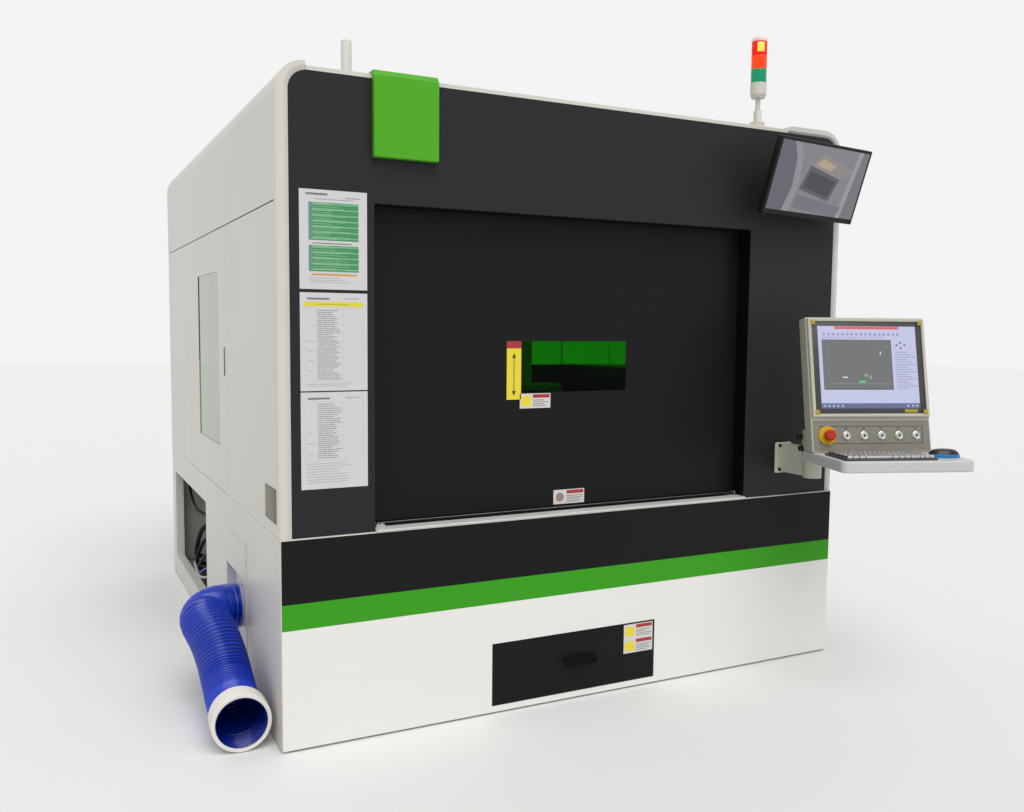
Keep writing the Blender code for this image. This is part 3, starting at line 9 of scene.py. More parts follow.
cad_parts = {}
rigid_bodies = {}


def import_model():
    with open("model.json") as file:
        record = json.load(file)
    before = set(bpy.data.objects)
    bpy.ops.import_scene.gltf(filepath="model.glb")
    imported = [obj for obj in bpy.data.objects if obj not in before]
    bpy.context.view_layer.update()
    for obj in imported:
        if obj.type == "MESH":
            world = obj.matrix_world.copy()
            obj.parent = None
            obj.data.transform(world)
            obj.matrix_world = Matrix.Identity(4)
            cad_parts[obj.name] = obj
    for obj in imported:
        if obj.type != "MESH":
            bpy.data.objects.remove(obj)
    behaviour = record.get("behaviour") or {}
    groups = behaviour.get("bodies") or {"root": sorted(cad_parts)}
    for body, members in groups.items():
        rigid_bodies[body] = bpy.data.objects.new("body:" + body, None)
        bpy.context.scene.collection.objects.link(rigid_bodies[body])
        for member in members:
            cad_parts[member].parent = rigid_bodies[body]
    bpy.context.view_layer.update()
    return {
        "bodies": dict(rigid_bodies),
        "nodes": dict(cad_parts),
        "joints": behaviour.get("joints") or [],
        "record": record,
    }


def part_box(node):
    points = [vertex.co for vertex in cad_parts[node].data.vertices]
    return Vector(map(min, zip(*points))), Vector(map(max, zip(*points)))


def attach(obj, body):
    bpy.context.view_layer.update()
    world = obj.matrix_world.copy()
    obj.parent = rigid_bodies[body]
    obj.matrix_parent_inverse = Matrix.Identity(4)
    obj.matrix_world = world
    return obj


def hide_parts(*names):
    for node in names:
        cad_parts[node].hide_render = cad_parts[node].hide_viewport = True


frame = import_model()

scene = bpy.context.scene
scene.view_settings.view_transform = "Standard"
print("frame loaded")


def toLinear(value):
    value = value / 255
    return value / 12.92 if value <= 0.04045 else ((value + 0.055) / 1.055) ** 2.4


def tint(red, green, blue):
    return (toLinear(red), toLinear(green), toLinear(blue), 1.0)


# camera, solved from the machine's own edges in the photograph
cameraView = {"place": (-1.756, -4.051, 1.302), "turn": 26.76, "down": 4.65, "lean": 0.51, "focal": 950.2,
              "pictureWidth": 1024, "sensor": 36, "reach": 60}


def placeCamera(view):
    turn, down, lean = (math.radians(view[label]) for label in ("turn", "down", "lean"))
    forward = Vector((math.sin(turn) * math.cos(down), math.cos(turn) * math.cos(down), -math.sin(down)))
    level = Vector((math.cos(turn), -math.sin(turn), 0))
    upright = level.cross(forward)
    right = math.cos(lean) * level + math.sin(lean) * upright
    up = math.cos(lean) * upright - math.sin(lean) * level
    data = bpy.data.cameras.new("photoCamera")
    data.sensor_width = view["sensor"]
    data.lens = view["focal"] / view["pictureWidth"] * view["sensor"]
    data.clip_end = view["reach"]
    camera = bpy.data.objects.new("photoCamera", data)
    scene.collection.objects.link(camera)
    axes = Matrix((right, up, -forward)).transposed()
    camera.matrix_world = Matrix.Translation(view["place"]) @ axes.to_4x4()
    scene.camera = camera


placeCamera(cameraView)
print("camera placed")


def fill(tree, node, values):
    # each value is a constant, or the socket that feeds the input
    for label, value in values.items():
        if isinstance(value, bpy.types.NodeSocket):
            tree.links.new(value, node.inputs[label])
        else:
            node.inputs[label].default_value = value
    return node


def addNode(tree, kind, values=None, **settings):
    node = tree.nodes.new("ShaderNode" + kind)
    for label, value in settings.items():
        setattr(node, label, value)
    return fill(tree, node, values or {})


def maths(tree, operation, *values, clamp=False):
    node = addNode(tree, "Math", dict(enumerate(values)), operation=operation, use_clamp=clamp)
    return node.outputs["Value"]


def mixColour(tree, factor, first, second, mode="MIX"):
    values = {"Factor": factor, "A": first, "B": second}
    return addNode(tree, "Mix", values, data_type="RGBA", blend_type=mode).outputs["Result"]


def remap(tree, source, low, high, toLow=0.0, toHigh=1.0):
    values = {"Value": source, "From Min": low, "From Max": high, "To Min": toLow, "To Max": toHigh}
    return addNode(tree, "MapRange", values).outputs["Result"]


def noise(tree, values):
    return addNode(tree, "TexNoise", values).outputs["Fac"]


# shared shader groups: each one gives a colour, a roughness and a normal that change over the surface
def newGroup(name, inputs):
    group = bpy.data.node_groups.new(name, "ShaderNodeTree")
    for label, value in inputs.items():
        kind = "Float" if isinstance(value, float) else "Color" if len(value) == 4 else "Vector"
        socket = group.interface.new_socket(label, in_out="INPUT", socket_type="NodeSocket" + kind)
        socket.default_value = value
    for label, kind in (("Colour", "Color"), ("Roughness", "Float"), ("Normal", "Vector")):
        group.interface.new_socket(label, in_out="OUTPUT", socket_type="NodeSocket" + kind)
    return group, group.nodes.new("NodeGroupInput").outputs, group.nodes.new("NodeGroupOutput")


def makeCoatGroup():
    group, into, out = newGroup("powderCoat", {
        "Colour": (0.5, 0.5, 0.5, 1), "Grime": 0.08, "Grime Scale": 1.4, "Peel Scale": 320.0,
        "Peel Depth": 0.06, "Roughness": 0.4})
    place = addNode(group, "TexCoord").outputs["Object"]
    cloud = noise(group, {"Vector": place, "Scale": into["Grime Scale"], "Detail": 6, "Roughness": 0.62})
    grime = maths(group, "MULTIPLY", remap(group, cloud, 0.35, 0.75), into["Grime"])
    peel = noise(group, {"Vector": place, "Scale": into["Peel Scale"], "Detail": 2})
    bump = addNode(group, "Bump", {"Distance": 0.0006, "Strength": into["Peel Depth"], "Height": peel})
    fill(group, out, {"Colour": mixColour(group, grime, into["Colour"], (0.55, 0.53, 0.49, 1), "MULTIPLY"),
                      "Roughness": maths(group, "MULTIPLY_ADD", grime, 0.6, into["Roughness"]),
                      "Normal": bump.outputs["Normal"]})
    return group


def makeGrainGroup():
    group, into, out = newGroup("metalGrain", {
        "Colour": (0.5, 0.5, 0.5, 1), "Stretch": (6, 400, 400), "Variation": 0.25, "Roughness": 0.35,
        "Stain": (0.25, 0.2, 0.16, 1), "Stain Amount": 0.0})
    place = addNode(group, "TexCoord").outputs["Object"]
    stretched = addNode(group, "VectorMath", {0: place, 1: into["Stretch"]}, operation="MULTIPLY")
    lines = noise(group, {"Vector": stretched.outputs["Vector"], "Scale": 1.0, "Detail": 3})
    cloud = noise(group, {"Vector": place, "Scale": 9.0, "Detail": 5})
    stain = maths(group, "MULTIPLY", remap(group, cloud, 0.45, 0.7), into["Stain Amount"])
    wander = remap(group, lines, 0.0, 1.0, -0.5, 0.5)
    bump = addNode(group, "Bump", {"Distance": 0.0003, "Strength": 0.15, "Height": lines})
    fill(group, out, {"Colour": mixColour(group, stain, into["Colour"], into["Stain"]),
                      "Roughness": maths(group, "MULTIPLY_ADD", wander, into["Variation"], into["Roughness"]),
                      "Normal": bump.outputs["Normal"]})
    return group


coatGroup = makeCoatGroup()
grainGroup = makeGrainGroup()


def newFinish(name, values):
    material = bpy.data.materials.new(name)
    material.use_nodes = True
    tree = material.node_tree
    return material, tree, fill(tree, tree.nodes["Principled BSDF"], values)


def useGroup(tree, shader, group, values):
    node = addNode(tree, "Group", node_tree=group)
    fill(tree, node, values)
    fill(tree, shader, {"Base Color": node.outputs["Colour"], "Roughness": node.outputs["Roughness"],
                        "Normal": node.outputs["Normal"]})


def coatFinish(name, colour, rough=0.4, grime=0.06, grimeScale=1.4, peelScale=320, peel=0.06, gloss=0.4,
               coat=0.0):
    sheen = {"Specular IOR Level": gloss, "Coat Weight": coat, "Coat Roughness": 0.15}
    material, tree, shader = newFinish(name, sheen)
    useGroup(tree, shader, coatGroup, {"Colour": colour, "Grime": grime, "Grime Scale": grimeScale,
                                       "Peel Scale": peelScale, "Peel Depth": peel, "Roughness": rough})
    return material


def metalFinish(name, colour, rough=0.35, stretch=(6, 400, 400), variation=0.25, stain=0.0):
    material, tree, shader = newFinish(name, {"Metallic": 1.0})
    useGroup(tree, shader, grainGroup, {"Colour": colour, "Stretch": stretch, "Variation": variation,
                                        "Roughness": rough, "Stain Amount": stain})
    return material


def clearFinish(name, colour, rough, through, level, ior=1.49, glow=(0, 0, 0, 1), strength=0.0):
    return newFinish(name, {"Base Color": colour, "Roughness": rough, "Transmission Weight": through,
                            "Specular IOR Level": level, "IOR": ior, "Emission Color": glow,
                            "Emission Strength": strength})[0]


def beyond(tree, axis, level):
    # a mask that is 1 where the surface lies past a level on one axis
    place = addNode(tree, "TexCoord").outputs["Object"]
    split = addNode(tree, "SeparateXYZ", {"Vector": place})
    return maths(tree, "GREATER_THAN", split.outputs[axis], level)


# the lower front: black band over a green stripe over white, on the outer face only; that white is a lighter
# copy of the shell white, painted light on the front face
bands = {"face": -1.2367, "greenFrom": 0.381, "blackFrom": 0.462, "green": tint(58, 152, 30),
         "low": tint(228, 226, 221)}
white = tint(206, 203, 195)
black = tint(22, 22, 23)


def bandedFinish(name, values):
    material, tree, shader = newFinish(name, {"Specular IOR Level": 0.12})
    lower = mixColour(tree, beyond(tree, "Z", values["greenFrom"]), values["low"], values["green"])
    front = mixColour(tree, beyond(tree, "Z", values["blackFrom"]), lower, black)
    colour = mixColour(tree, beyond(tree, "Y", values["face"]), front, white)
    useGroup(tree, shader, coatGroup, {"Colour": colour, "Grime": 0.05, "Grime Scale": 1.1,
                                       "Peel Depth": 0.05, "Roughness": 0.36})
    return material


def splitFinish(name, level, before, behind, rough, gloss, grime=0.0, peel=0.02):
    # paint of one colour in front of a level on Y and of another behind it
    material, tree, shader = newFinish(name, {"Specular IOR Level": gloss})
    colour = mixColour(tree, beyond(tree, "Y", level), before, behind)
    useGroup(tree, shader, coatGroup, {"Colour": colour, "Grime": grime, "Grime Scale": 9.0,
                                       "Peel Depth": peel, "Roughness": rough})
    return material


def printFinish(name, rough, glow=0.0, coat=0.0):
    # reads the colour written on each face of a printed plate
    sheen = {"Roughness": rough, "Coat Weight": coat, "Coat Roughness": 0.08}
    material, tree, shader = newFinish(name, sheen)
    ink = addNode(tree, "Attribute", attribute_name="ink").outputs["Color"]
    lit = {"Base Color": (0.01, 0.01, 0.012, 1), "Emission Color": ink, "Emission Strength": glow}
    fill(tree, shader, lit if glow else {"Base Color": ink})
    return material


def hoseFinish(name, crest, groove):
    # glossy plastic, darker down between the ribs: painted shade in the grooves
    sheen = {"Specular IOR Level": 0.3, "Coat Weight": 0.35, "Coat Roughness": 0.08}
    material, tree, shader = newFinish(name, sheen)
    depth = addNode(tree, "Attribute", attribute_name="depth").outputs["Fac"]
    useGroup(tree, shader, coatGroup, {"Colour": mixColour(tree, depth, crest, groove), "Grime": 0.04,
                                       "Grime Scale": 6.0, "Peel Depth": 0.02, "Roughness": 0.2})
    return material


coats = {
    "white": dict(colour=white, rough=0.38, grime=0.08, coat=0.12),
    "black": dict(colour=black, rough=0.42, grime=0.0, peel=0.08, gloss=0.12),
    "pullBlack": dict(colour=tint(6, 6, 8), rough=0.16, grime=0.0, peel=0.0, gloss=0.08),
    "frame": dict(colour=tint(118, 121, 124), rough=0.5, grime=0.3, grimeScale=5),
    "green": dict(colour=tint(74, 162, 22), rough=0.34, grime=0.02, peel=0.03, gloss=0.3),
    "lightGrey": dict(colour=tint(168, 170, 172), rough=0.45, grime=0.12, grimeScale=4),
    "darkGrey": dict(colour=tint(74, 75, 78), rough=0.5, grime=0.1, grimeScale=6, gloss=0.2),
    "lilacGrey": dict(colour=tint(196, 194, 202), rough=0.45, grime=0.1, grimeScale=5),
    "cylinder": dict(colour=tint(214, 213, 208), rough=0.3, grime=0.04, grimeScale=8, peel=0.02),
    "beige": dict(colour=tint(182, 179, 166), rough=0.45, grime=0.06, grimeScale=6, peelScale=700),
    "strip": dict(colour=tint(128, 126, 115), rough=0.5, grime=0.06, grimeScale=8, peelScale=700,
                  gloss=0.25),
    "tray": dict(colour=tint(192, 190, 190), rough=0.42, grime=0.05, grimeScale=8, peelScale=700),
    "cast": dict(colour=tint(188, 187, 170), rough=0.5, grime=0.08, grimeScale=9, peelScale=260, peel=0.2),
    "plastic": dict(colour=tint(18, 18, 20), rough=0.5, grime=0.0, peelScale=1200, peel=0.12, gloss=0.25),
    "gloss": dict(colour=tint(12, 12, 14), rough=0.22, grime=0.0, peel=0.01, gloss=0.4),
    "plainRubber": dict(colour=tint(12, 12, 13), rough=0.5, grime=0.1, grimeScale=30, gloss=0.2),
    "rubber": dict(colour=tint(12, 12, 13), rough=0.45, grime=0.1, grimeScale=30, gloss=0.2),
    "lampWhite": dict(colour=tint(204, 201, 190), rough=0.35, grime=0.02, peel=0.02),
    "lampCap": dict(colour=tint(232, 206, 200), rough=0.3, grime=0.02, peel=0.02),
    "button": dict(colour=tint(206, 205, 200), rough=0.35, grime=0.03, grimeScale=60, peel=0.02),
    "red": dict(colour=tint(176, 40, 26), rough=0.38, grime=0.04, grimeScale=40, peel=0.02, gloss=0.3),
    "yellow": dict(colour=tint(206, 160, 22), rough=0.42, grime=0.06, grimeScale=40, peel=0.02, gloss=0.3),
    "cornerMark": dict(colour=tint(160, 146, 42), rough=0.4, grime=0.1, grimeScale=60, peel=0.02,
                       gloss=0.3),
    "screenBorder": dict(colour=tint(66, 67, 67), rough=0.35, grime=0.0, peel=0.02, gloss=0.25),
    "keyBed": dict(colour=tint(66, 65, 66), rough=0.35, grime=0.0, peel=0.02, gloss=0.3),
    "blueCable": dict(colour=tint(70, 58, 160), rough=0.4, grime=0.0),
    "greyCable": dict(colour=tint(176, 176, 178), rough=0.45, grime=0.1, grimeScale=20),
    "mouseBlue": dict(colour=tint(24, 112, 172), rough=0.3, grime=0.0, peel=0.02),
    "paneEdge": dict(colour=tint(96, 176, 40), rough=0.3, grime=0.0, peel=0.0),
    "cuff": dict(colour=tint(222, 217, 210), rough=0.35, grime=0.08, grimeScale=10, peel=0.02),
}
metals = {
    "steel": dict(colour=tint(206, 207, 206), rough=0.34, variation=0.06),
    "plate": dict(colour=tint(112, 107, 94), rough=0.42, stretch=(60, 60, 60), variation=0.2, stain=0.3),
    "zinc": dict(colour=tint(172, 176, 178), rough=0.42, stretch=(40, 40, 40), variation=0.3),
    "slats": dict(colour=tint(140, 132, 124), rough=0.5, stretch=(30, 30, 90), stain=0.8),
    "keyCaps": dict(colour=tint(206, 204, 204), rough=0.3, stretch=(90, 90, 90), variation=0.3),
    "ringMetal": dict(colour=tint(206, 206, 206), rough=0.25, stretch=(300, 300, 300)),
    "brass": dict(colour=tint(214, 164, 84), rough=0.25),
}
clears = {
    "doorGlass": dict(colour=tint(10, 122, 2), rough=0.02, through=1.0, level=0.1, ior=1.12),
    "sideGlass": dict(colour=tint(158, 162, 146), rough=0.02, through=0.3, level=0.9),
    "lensGreen": dict(colour=tint(2, 132, 92), rough=0.15, through=0.4, glow=tint(0, 140, 98),
                      strength=0.4, level=0.15),
    "lensAmber": dict(colour=tint(196, 52, 6), rough=0.15, through=0.4, glow=tint(236, 66, 2),
                      strength=0.6, level=0.12),
    "lensRed": dict(colour=tint(176, 8, 10), rough=0.15, through=0.4, glow=tint(214, 12, 10),
                    strength=0.6, level=0.15),
    # painted glow: emitting colour for the bright spot of the lit bulb, laid on one side of the red lens
    "lensGlow": dict(colour=tint(240, 150, 40), rough=0.2, through=0.2, glow=tint(255, 196, 70),
                     strength=1.0, level=0.5),
}
finishes = {label: coatFinish(label + "Coat", **values) for label, values in coats.items()}
finishes |= {label: metalFinish(label + "Metal", **values) for label, values in metals.items()}
finishes |= {label: clearFinish(label + "Clear", **values) for label, values in clears.items()}
finishes |= {
    # the upper front panel's faces behind its front, the jambs of the door recess, get a near-black: painted
    # shade in the recess
    "satinBlack": splitFinish("satinBlackCoat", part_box("upper_front_panel")[0].y + 0.003, tint(34, 34, 36),
                              tint(5, 5, 6), rough=0.5, gloss=0.2, peel=0.08),
    "sill": splitFinish("sillCoat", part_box("door_sill")[0].y + 0.052, tint(206, 205, 200), black, rough=0.3,
                        gloss=0.3, grime=0.25),
    "bands": bandedFinish("bandedCoat", bands),
    # crest colour and a darker groove colour; the groove colour is painted shade between the ribs
    "hose": hoseFinish("blueHose", tint(0, 60, 204), tint(0, 16, 92)),
    "paper": printFinish("printedSheet", rough=0.4, coat=0.25),
    "screen": printFinish("screenLight", rough=0.25, glow=1.0),
    "roomLight": printFinish("roomLight", rough=0.6, glow=1.0),
}
print("finishes made:", len(finishes))

nodeFinishes = {
    "white": ["lower_left_panel", "lower_right_panel", "exhaust_cover", "left_front_panel", "left_rear_panel",
              "right_side_panel", "rear_panel", "roof_panel", "rear_bulkhead", "side_door_panel",
              "gantry_beam"],
    "lilacGrey": ["exhaust_duct"],
    "black": ["door_panel"],
    "satinBlack": ["upper_front_panel"],
    "bands": ["lower_front_panel"],
    "frame": ["base_frame", "bed_frame", "front_post_left", "front_post_right", "side_door_frame",
              "door_carriage", "head_carriage"],
    "zinc": ["scrap_chute", "drawer_bay"],
    "slats": ["slat_table"],
    "green": ["badge_plate"],
    "lightGrey": ["laser_source"],
    "cast": ["console_bracket"],
    "tray": ["keyboard_tray"],
    "plastic": ["monitor_bracket", "monitor_arm", "monitor_housing", "cutting_head"],
    "gloss": ["monitor_screen", "console_screen"],
    "doorGlass": ["door_window"],
    "sideGlass": ["side_window"],
}


def finishNode(node, material):
    mesh = frame["nodes"][node].data
    mesh.materials.clear()
    mesh.materials.append(material)


for finish, nodes in nodeFinishes.items():
    for node in nodes:
        finishNode(node, finishes[finish])
finishNode("door_sill", finishes["sill"])
print("frame nodes finished")


# building blocks for new pieces
def addBlock(form, low, high, edge=0.0, segments=2):
    corners = bmesh.ops.create_cube(form, size=1.0)["verts"]
    bmesh.ops.scale(form, vec=Vector(high) - Vector(low), verts=corners)
    bmesh.ops.translate(form, vec=(Vector(high) + Vector(low)) / 2, verts=corners)
    if edge:
        sides = list({side for corner in corners for side in corner.link_edges})
        bmesh.ops.bevel(form, geom=sides, offset=edge, offset_type="OFFSET", segments=segments, profile=0.5,
                        affect="EDGES", material=-1)


def addRod(form, start, end, radius, steps=20, tip=None):
    run = Vector(end) - Vector(start)
    turn = run.to_track_quat("Z", "Y").to_matrix().to_4x4()
    spot = Matrix.Translation((Vector(start) + Vector(end)) / 2) @ turn
    bmesh.ops.create_cone(form, cap_ends=True, segments=steps, radius1=radius,
                          radius2=radius if tip is None else tip, depth=run.length, matrix=spot)


def addTurned(form, profile, steps=48, angle=math.tau, start=0.0):
    # a profile of (radius, height) pairs spun about Z
    across, along = math.cos(start), math.sin(start)
    corners = [form.verts.new((radius * across, radius * along, height)) for radius, height in profile]
    lines = [form.edges.new(pair) for pair in zip(corners, corners[1:])]
    bmesh.ops.spin(form, geom=corners + lines, cent=(0, 0, 0), axis=(0, 0, 1), angle=angle, steps=steps,
                   use_merge=angle == math.tau)


def linkPiece(name, mesh, body, stands):
    piece = bpy.data.objects.new(name, mesh)
    scene.collection.objects.link(piece)
    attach(piece, body)
    if stands:
        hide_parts(*stands)
    return piece


def makePiece(name, form, finish, body, slot, place=Matrix(), smooth=35, recalc=True, stands=()):
    bmesh.ops.transform(form, matrix=place, verts=form.verts)
    bmesh.ops.remove_doubles(form, verts=form.verts, dist=0.000002)
    if recalc:
        bmesh.ops.recalc_face_normals(form, faces=form.faces)
    mesh = bpy.data.meshes.new(name)
    form.to_mesh(mesh)
    form.free()
    if smooth:
        mesh.shade_smooth()
        mesh.set_sharp_from_angle(angle=math.radians(smooth))
    for label in [finish] if isinstance(finish, str) else finish:
        mesh.materials.append(finishes[label])
    return linkPiece(name, mesh, body, stands)


def makeBlocks(name, blocks, *where, rods=(), **settings):
    # one piece out of blocks and rods, each given by the values that addBlock or addRod takes
    form = bmesh.new()
    for block in blocks:
        addBlock(form, *block)
    for rod in rods:
        addRod(form, *rod)
    makePiece(name, form, *where, **settings)


def makeTurned(name, profile, steps, *where, **settings):
    form = bmesh.new()
    addTurned(form, profile, steps)
    makePiece(name, form, *where, **settings)


def setFinish(form, start, index):
    form.faces.ensure_lookup_table()
    for face in form.faces[start:]:
        face.material_index = index


def smoothCopy(node, finish, body, slot, angle=35, split=None):
    # the same shape as the solid, with its corners joined so that curves shade smoothly
    form = bmesh.new()
    form.from_mesh(frame["nodes"][node].data)
    bmesh.ops.remove_doubles(form, verts=form.verts, dist=0.00001)
    bmesh.ops.dissolve_limit(form, angle_limit=math.radians(1), verts=form.verts, edges=form.edges)
    if split:
        split(form)
    piece = makePiece(node + "Smooth", form, finish, body, slot, smooth=angle, recalc=False, stands=[node])
    piece.modifiers.new("evenShading", "WEIGHTED_NORMAL").keep_sharp = True


def field(left, low, right, high, colour, layer=1):
    return [(left, low), (right, low), (right, high), (left, high)], colour, layer


def printedPlate(name, place, size, patches, finish, body, slot, thickness=0.0006, lift=0.00012,
                 back=(0.9, 0.9, 0.9)):
    # a thin plate in its own XZ plane, facing -Y, with fields of colour laid on it in layers
    form = bmesh.new()
    ink = form.loops.layers.float_color.new("ink")
    addBlock(form, (0, 0, 0), (size[0], thickness, size[1]))
    bmesh.ops.recalc_face_normals(form, faces=form.faces)
    for face in form.faces:
        for loop in face.loops:
            loop[ink] = (*back[:3], 1.0)
    for outline, colour, layer in patches:
        corners = [form.verts.new((x, -lift * layer, z)) for x, z in outline]
        face = form.faces.new(corners)
        face.normal_update()
        if face.normal.y > 0:
            face.normal_flip()
        for loop in face.loops:
            loop[ink] = (*colour[:3], 1.0)
    return makePiece(name, form, finish, body, slot, place, smooth=0, recalc=False)


def smoothRoute(points, spacing):
    # points at an even spacing along a smooth line through the given ones
    route = [Vector(point) for point in points]
    ends = [2 * route[0] - route[1]] + route + [2 * route[-1] - route[-2]]
    fine = []
    for before, start, stop, after in zip(ends, ends[1:], ends[2:], ends[3:]):
        for step in range(60):
            t = step / 60
            fine.append(0.5 * (2 * start + (stop - before) * t
                               + (2 * before - 5 * start + 4 * stop - after) * t * t
                               + (3 * start - before - 3 * stop + after) * t ** 3))
    fine.append(route[-1])
    chosen = [fine[0]]
    run = 0.0
    for last, here in zip(fine, fine[1:]):
        step = (here - last).length
        while run + step >= spacing:
            share = (spacing - run) / step
            last = last.lerp(here, share)
            chosen.append(last)
            step = (here - last).length
            run = 0.0
        run += step
    return chosen


def ribbedTube(name, points, radius, pitch, depth, finish, body, slot, sides=6, stands=(), perRib=4,
               wall=0.0):
    # ribs come from the radius of each point along the curve; a tube with a wall is left open at its ends
    route = smoothRoute(points, pitch / perRib)
    sunk = [0.5 - 0.5 * math.cos(math.tau * number / perRib) for number in range(len(route))]
    curve = bpy.data.curves.new(name, "CURVE")
    curve.dimensions = "3D"
    curve.bevel_depth = radius
    curve.bevel_resolution = sides
    curve.use_fill_caps = not wall
    line = curve.splines.new("POLY")
    line.points.add(len(route) - 1)
    for point, spot, share in zip(line.points, route, sunk):
        point.co = (*spot, 1.0)
        point.radius = 1 - depth / radius * share
    line.use_smooth = True
    source = bpy.data.objects.new(name + "Route", curve)
    scene.collection.objects.link(source)
    mesh = bpy.data.meshes.new_from_object(source.evaluated_get(bpy.context.evaluated_depsgraph_get()))
    mesh.name = name
    bpy.data.objects.remove(source)
    bpy.data.curves.remove(curve)
    ring = len(mesh.vertices) // len(route)
    # the depth mark runs from 0 on a rib crest to 1 down in a groove; the hose finish darkens by it as
    # painted shade
    for number, mark in enumerate(mesh.attributes.new("depth", "FLOAT", "POINT").data):
        mark.value = 0.5 - 0.5 * math.cos(math.tau * (number // ring) / perRib) if depth else 0.0
    mesh.materials.clear()
    mesh.materials.append(finishes[finish])
    tube = linkPiece(name, mesh, body, stands)
    if wall:
        shell = tube.modifiers.new("tubeWall", "SOLIDIFY")
        shell.thickness = wall
        shell.offset = -1.0


# shells, frames and turned parts keep their solids' shapes, shaded smoothly
for node, finish, slot in (
        ("left_shell", "white", "shell_white"), ("right_shell", "white", "shell_white"),
        ("stack_light_stem", "lampWhite", "lamp_white"), ("stack_light_cap", "lampCap", "lamp_white"),
        ("lift_cylinder", "cylinder", "bare_steel"), ("door_guide", "steel", "bare_steel")):
    smoothCopy(node, finish, "enclosure", slot)
for number in range(1, 6):
    smoothCopy(f"button_{number}", "button", f"button_{number}", "button_white")
smoothCopy("estop_button", "red", "estop", "stop_red")
smoothCopy("estop_collar", "yellow", "console", "stop_yellow")
print("turned parts and shells smoothed")


# stack light lenses: fluted clear drums, one after another; the top one carries a painted glow, a bright
# emitting patch on one side that stands for the lit bulb
lensStyle = {"flutes": 36, "depth": 0.0008, "ring": 0.0012}
paintedBulbGlow = {"sunk": 0.0006, "proud": 0.0004, "foot": 0.010, "head": 0.005, "edge": 0.002, "angle": 54,
             "start": -145}


def fluteLens(node, finish, slot, values):
    low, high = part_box(node)
    centre = (low + high) / 2
    radius = (high.x - low.x) / 2
    form = bmesh.new()
    bmesh.ops.create_cone(form, cap_ends=True, segments=values["flutes"] * 2, radius1=radius, radius2=radius,
                          depth=high.z - low.z, matrix=Matrix.Translation(centre))
    rims = [edge for edge in form.edges if abs(edge.verts[0].co.z - edge.verts[1].co.z) < 0.001]
    bmesh.ops.bevel(form, geom=rims, offset=values["ring"], offset_type="OFFSET", segments=2, profile=0.5,
                    affect="EDGES", material=-1)
    for corner in form.verts:
        around = Vector((corner.co.x - centre.x, corner.co.y - centre.y, 0))
        turn = round(math.atan2(around.y, around.x) / math.tau * values["flutes"] * 2)
        if turn % 2 and around.length > radius * 0.5:
            corner.co -= around.normalized() * values["depth"]
    makePiece(node + "Fluted", form, finish, "enclosure", slot, smooth=50, stands=[node])


# a curved emitting strip on one side of the red lens: a painted highlight for the lit bulb
def makePaintedBulbGlow(sunk, proud, foot, head, edge, angle, start):
    low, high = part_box("red_lens")
    centre = (low + high) / 2
    inner, outer = (high.x - low.x) / 2 - sunk, (high.x - low.x) / 2 + proud
    bottom, top = low.z + foot, high.z - head
    form = bmesh.new()
    addTurned(form, [(inner, bottom), (outer, bottom + edge), (outer, top - edge), (inner, top)], 12,
              math.radians(angle), math.radians(start))
    place = Matrix.Translation((centre.x, centre.y, 0))
    makePiece("lensGlowPatch", form, "lensGlow", "enclosure", "lens_red", place, recalc=False)


for label in ("green", "amber", "red"):
    fluteLens(f"{label}_lens", f"lens{label.title()}", f"lens_{label}", lensStyle)
makePaintedBulbGlow(**paintedBulbGlow)
print("stack light made")


# exhaust hose: ribbed, pushed over the collar, bent down to the floor and ended in a cuff
hose = {"radius": 0.084, "wall": 0.0016, "pitch": 0.0135, "depth": 0.0058, "points": [
    (-1.112, -0.560, 0.285), (-1.130, -0.560, 0.285), (-1.135, -0.560, 0.285), (-1.1771, -0.5684, 0.285),
    (-1.2128, -0.5922, 0.2838), (-1.2366, -0.6279, 0.2802), (-1.245, -0.670, 0.2742), (-1.230, -0.750, 0.240),
    (-1.217, -0.820, 0.190), (-1.211, -0.895, 0.132), (-1.211, -0.980, 0.097), (-1.214, -1.070, 0.093),
    (-1.218, -1.170, 0.093)]}
hoseCuff = {"radius": 0.0918, "bore": 0.0845, "lip": 0.0785, "length": 0.080, "ribs": 5}


def makeHoseCuff(route, radius, bore, lip, length, ribs):
    end = Vector(route[-1])
    along = (end - Vector(route[-2])).normalized()
    profile = [(bore, 0.0), (radius - 0.003, 0.0), (radius - 0.002, 0.002)]
    step = (length - 0.016) / ribs
    for rib in range(ribs):
        low = 0.004 + step * rib
        profile += [(radius - 0.0025, low), (radius - 0.0004, low + step * 0.2), (radius, low + step * 0.4),
                    (radius, low + step * 0.6), (radius - 0.0004, low + step * 0.8)]
    profile += [(radius - 0.0025, length - 0.012), (radius, length - 0.010), (radius, length - 0.003),
                (radius - 0.002, length), (lip + 0.002, length), (lip, length - 0.002), (lip, length - 0.008),
                (bore, length - 0.010), (bore, 0.0)]
    turn = along.to_track_quat("Z", "Y").to_matrix().to_4x4()
    place = Matrix.Translation(end - along * (length - 0.001)) @ turn
    makeTurned("hoseCuff", profile, 72, "cuff", "enclosure", "hose_blue", place, smooth=40)


ribbedTube("exhaustHose", finish="hose", body="enclosure", slot="hose_blue", stands=["exhaust_hose"],
           sides=10, perRib=8, **hose)
makeHoseCuff(hose["points"], **hoseCuff)


# sheet metal that closes the space between the side panel and the duct
ductLining = {"front": -0.6636, "rear": -0.3434, "bottom": 0.1134, "top": 0.4056, "sheet": 0.0015,
              "near": -1.1068, "far": -1.0812, "gap": 0.0004}


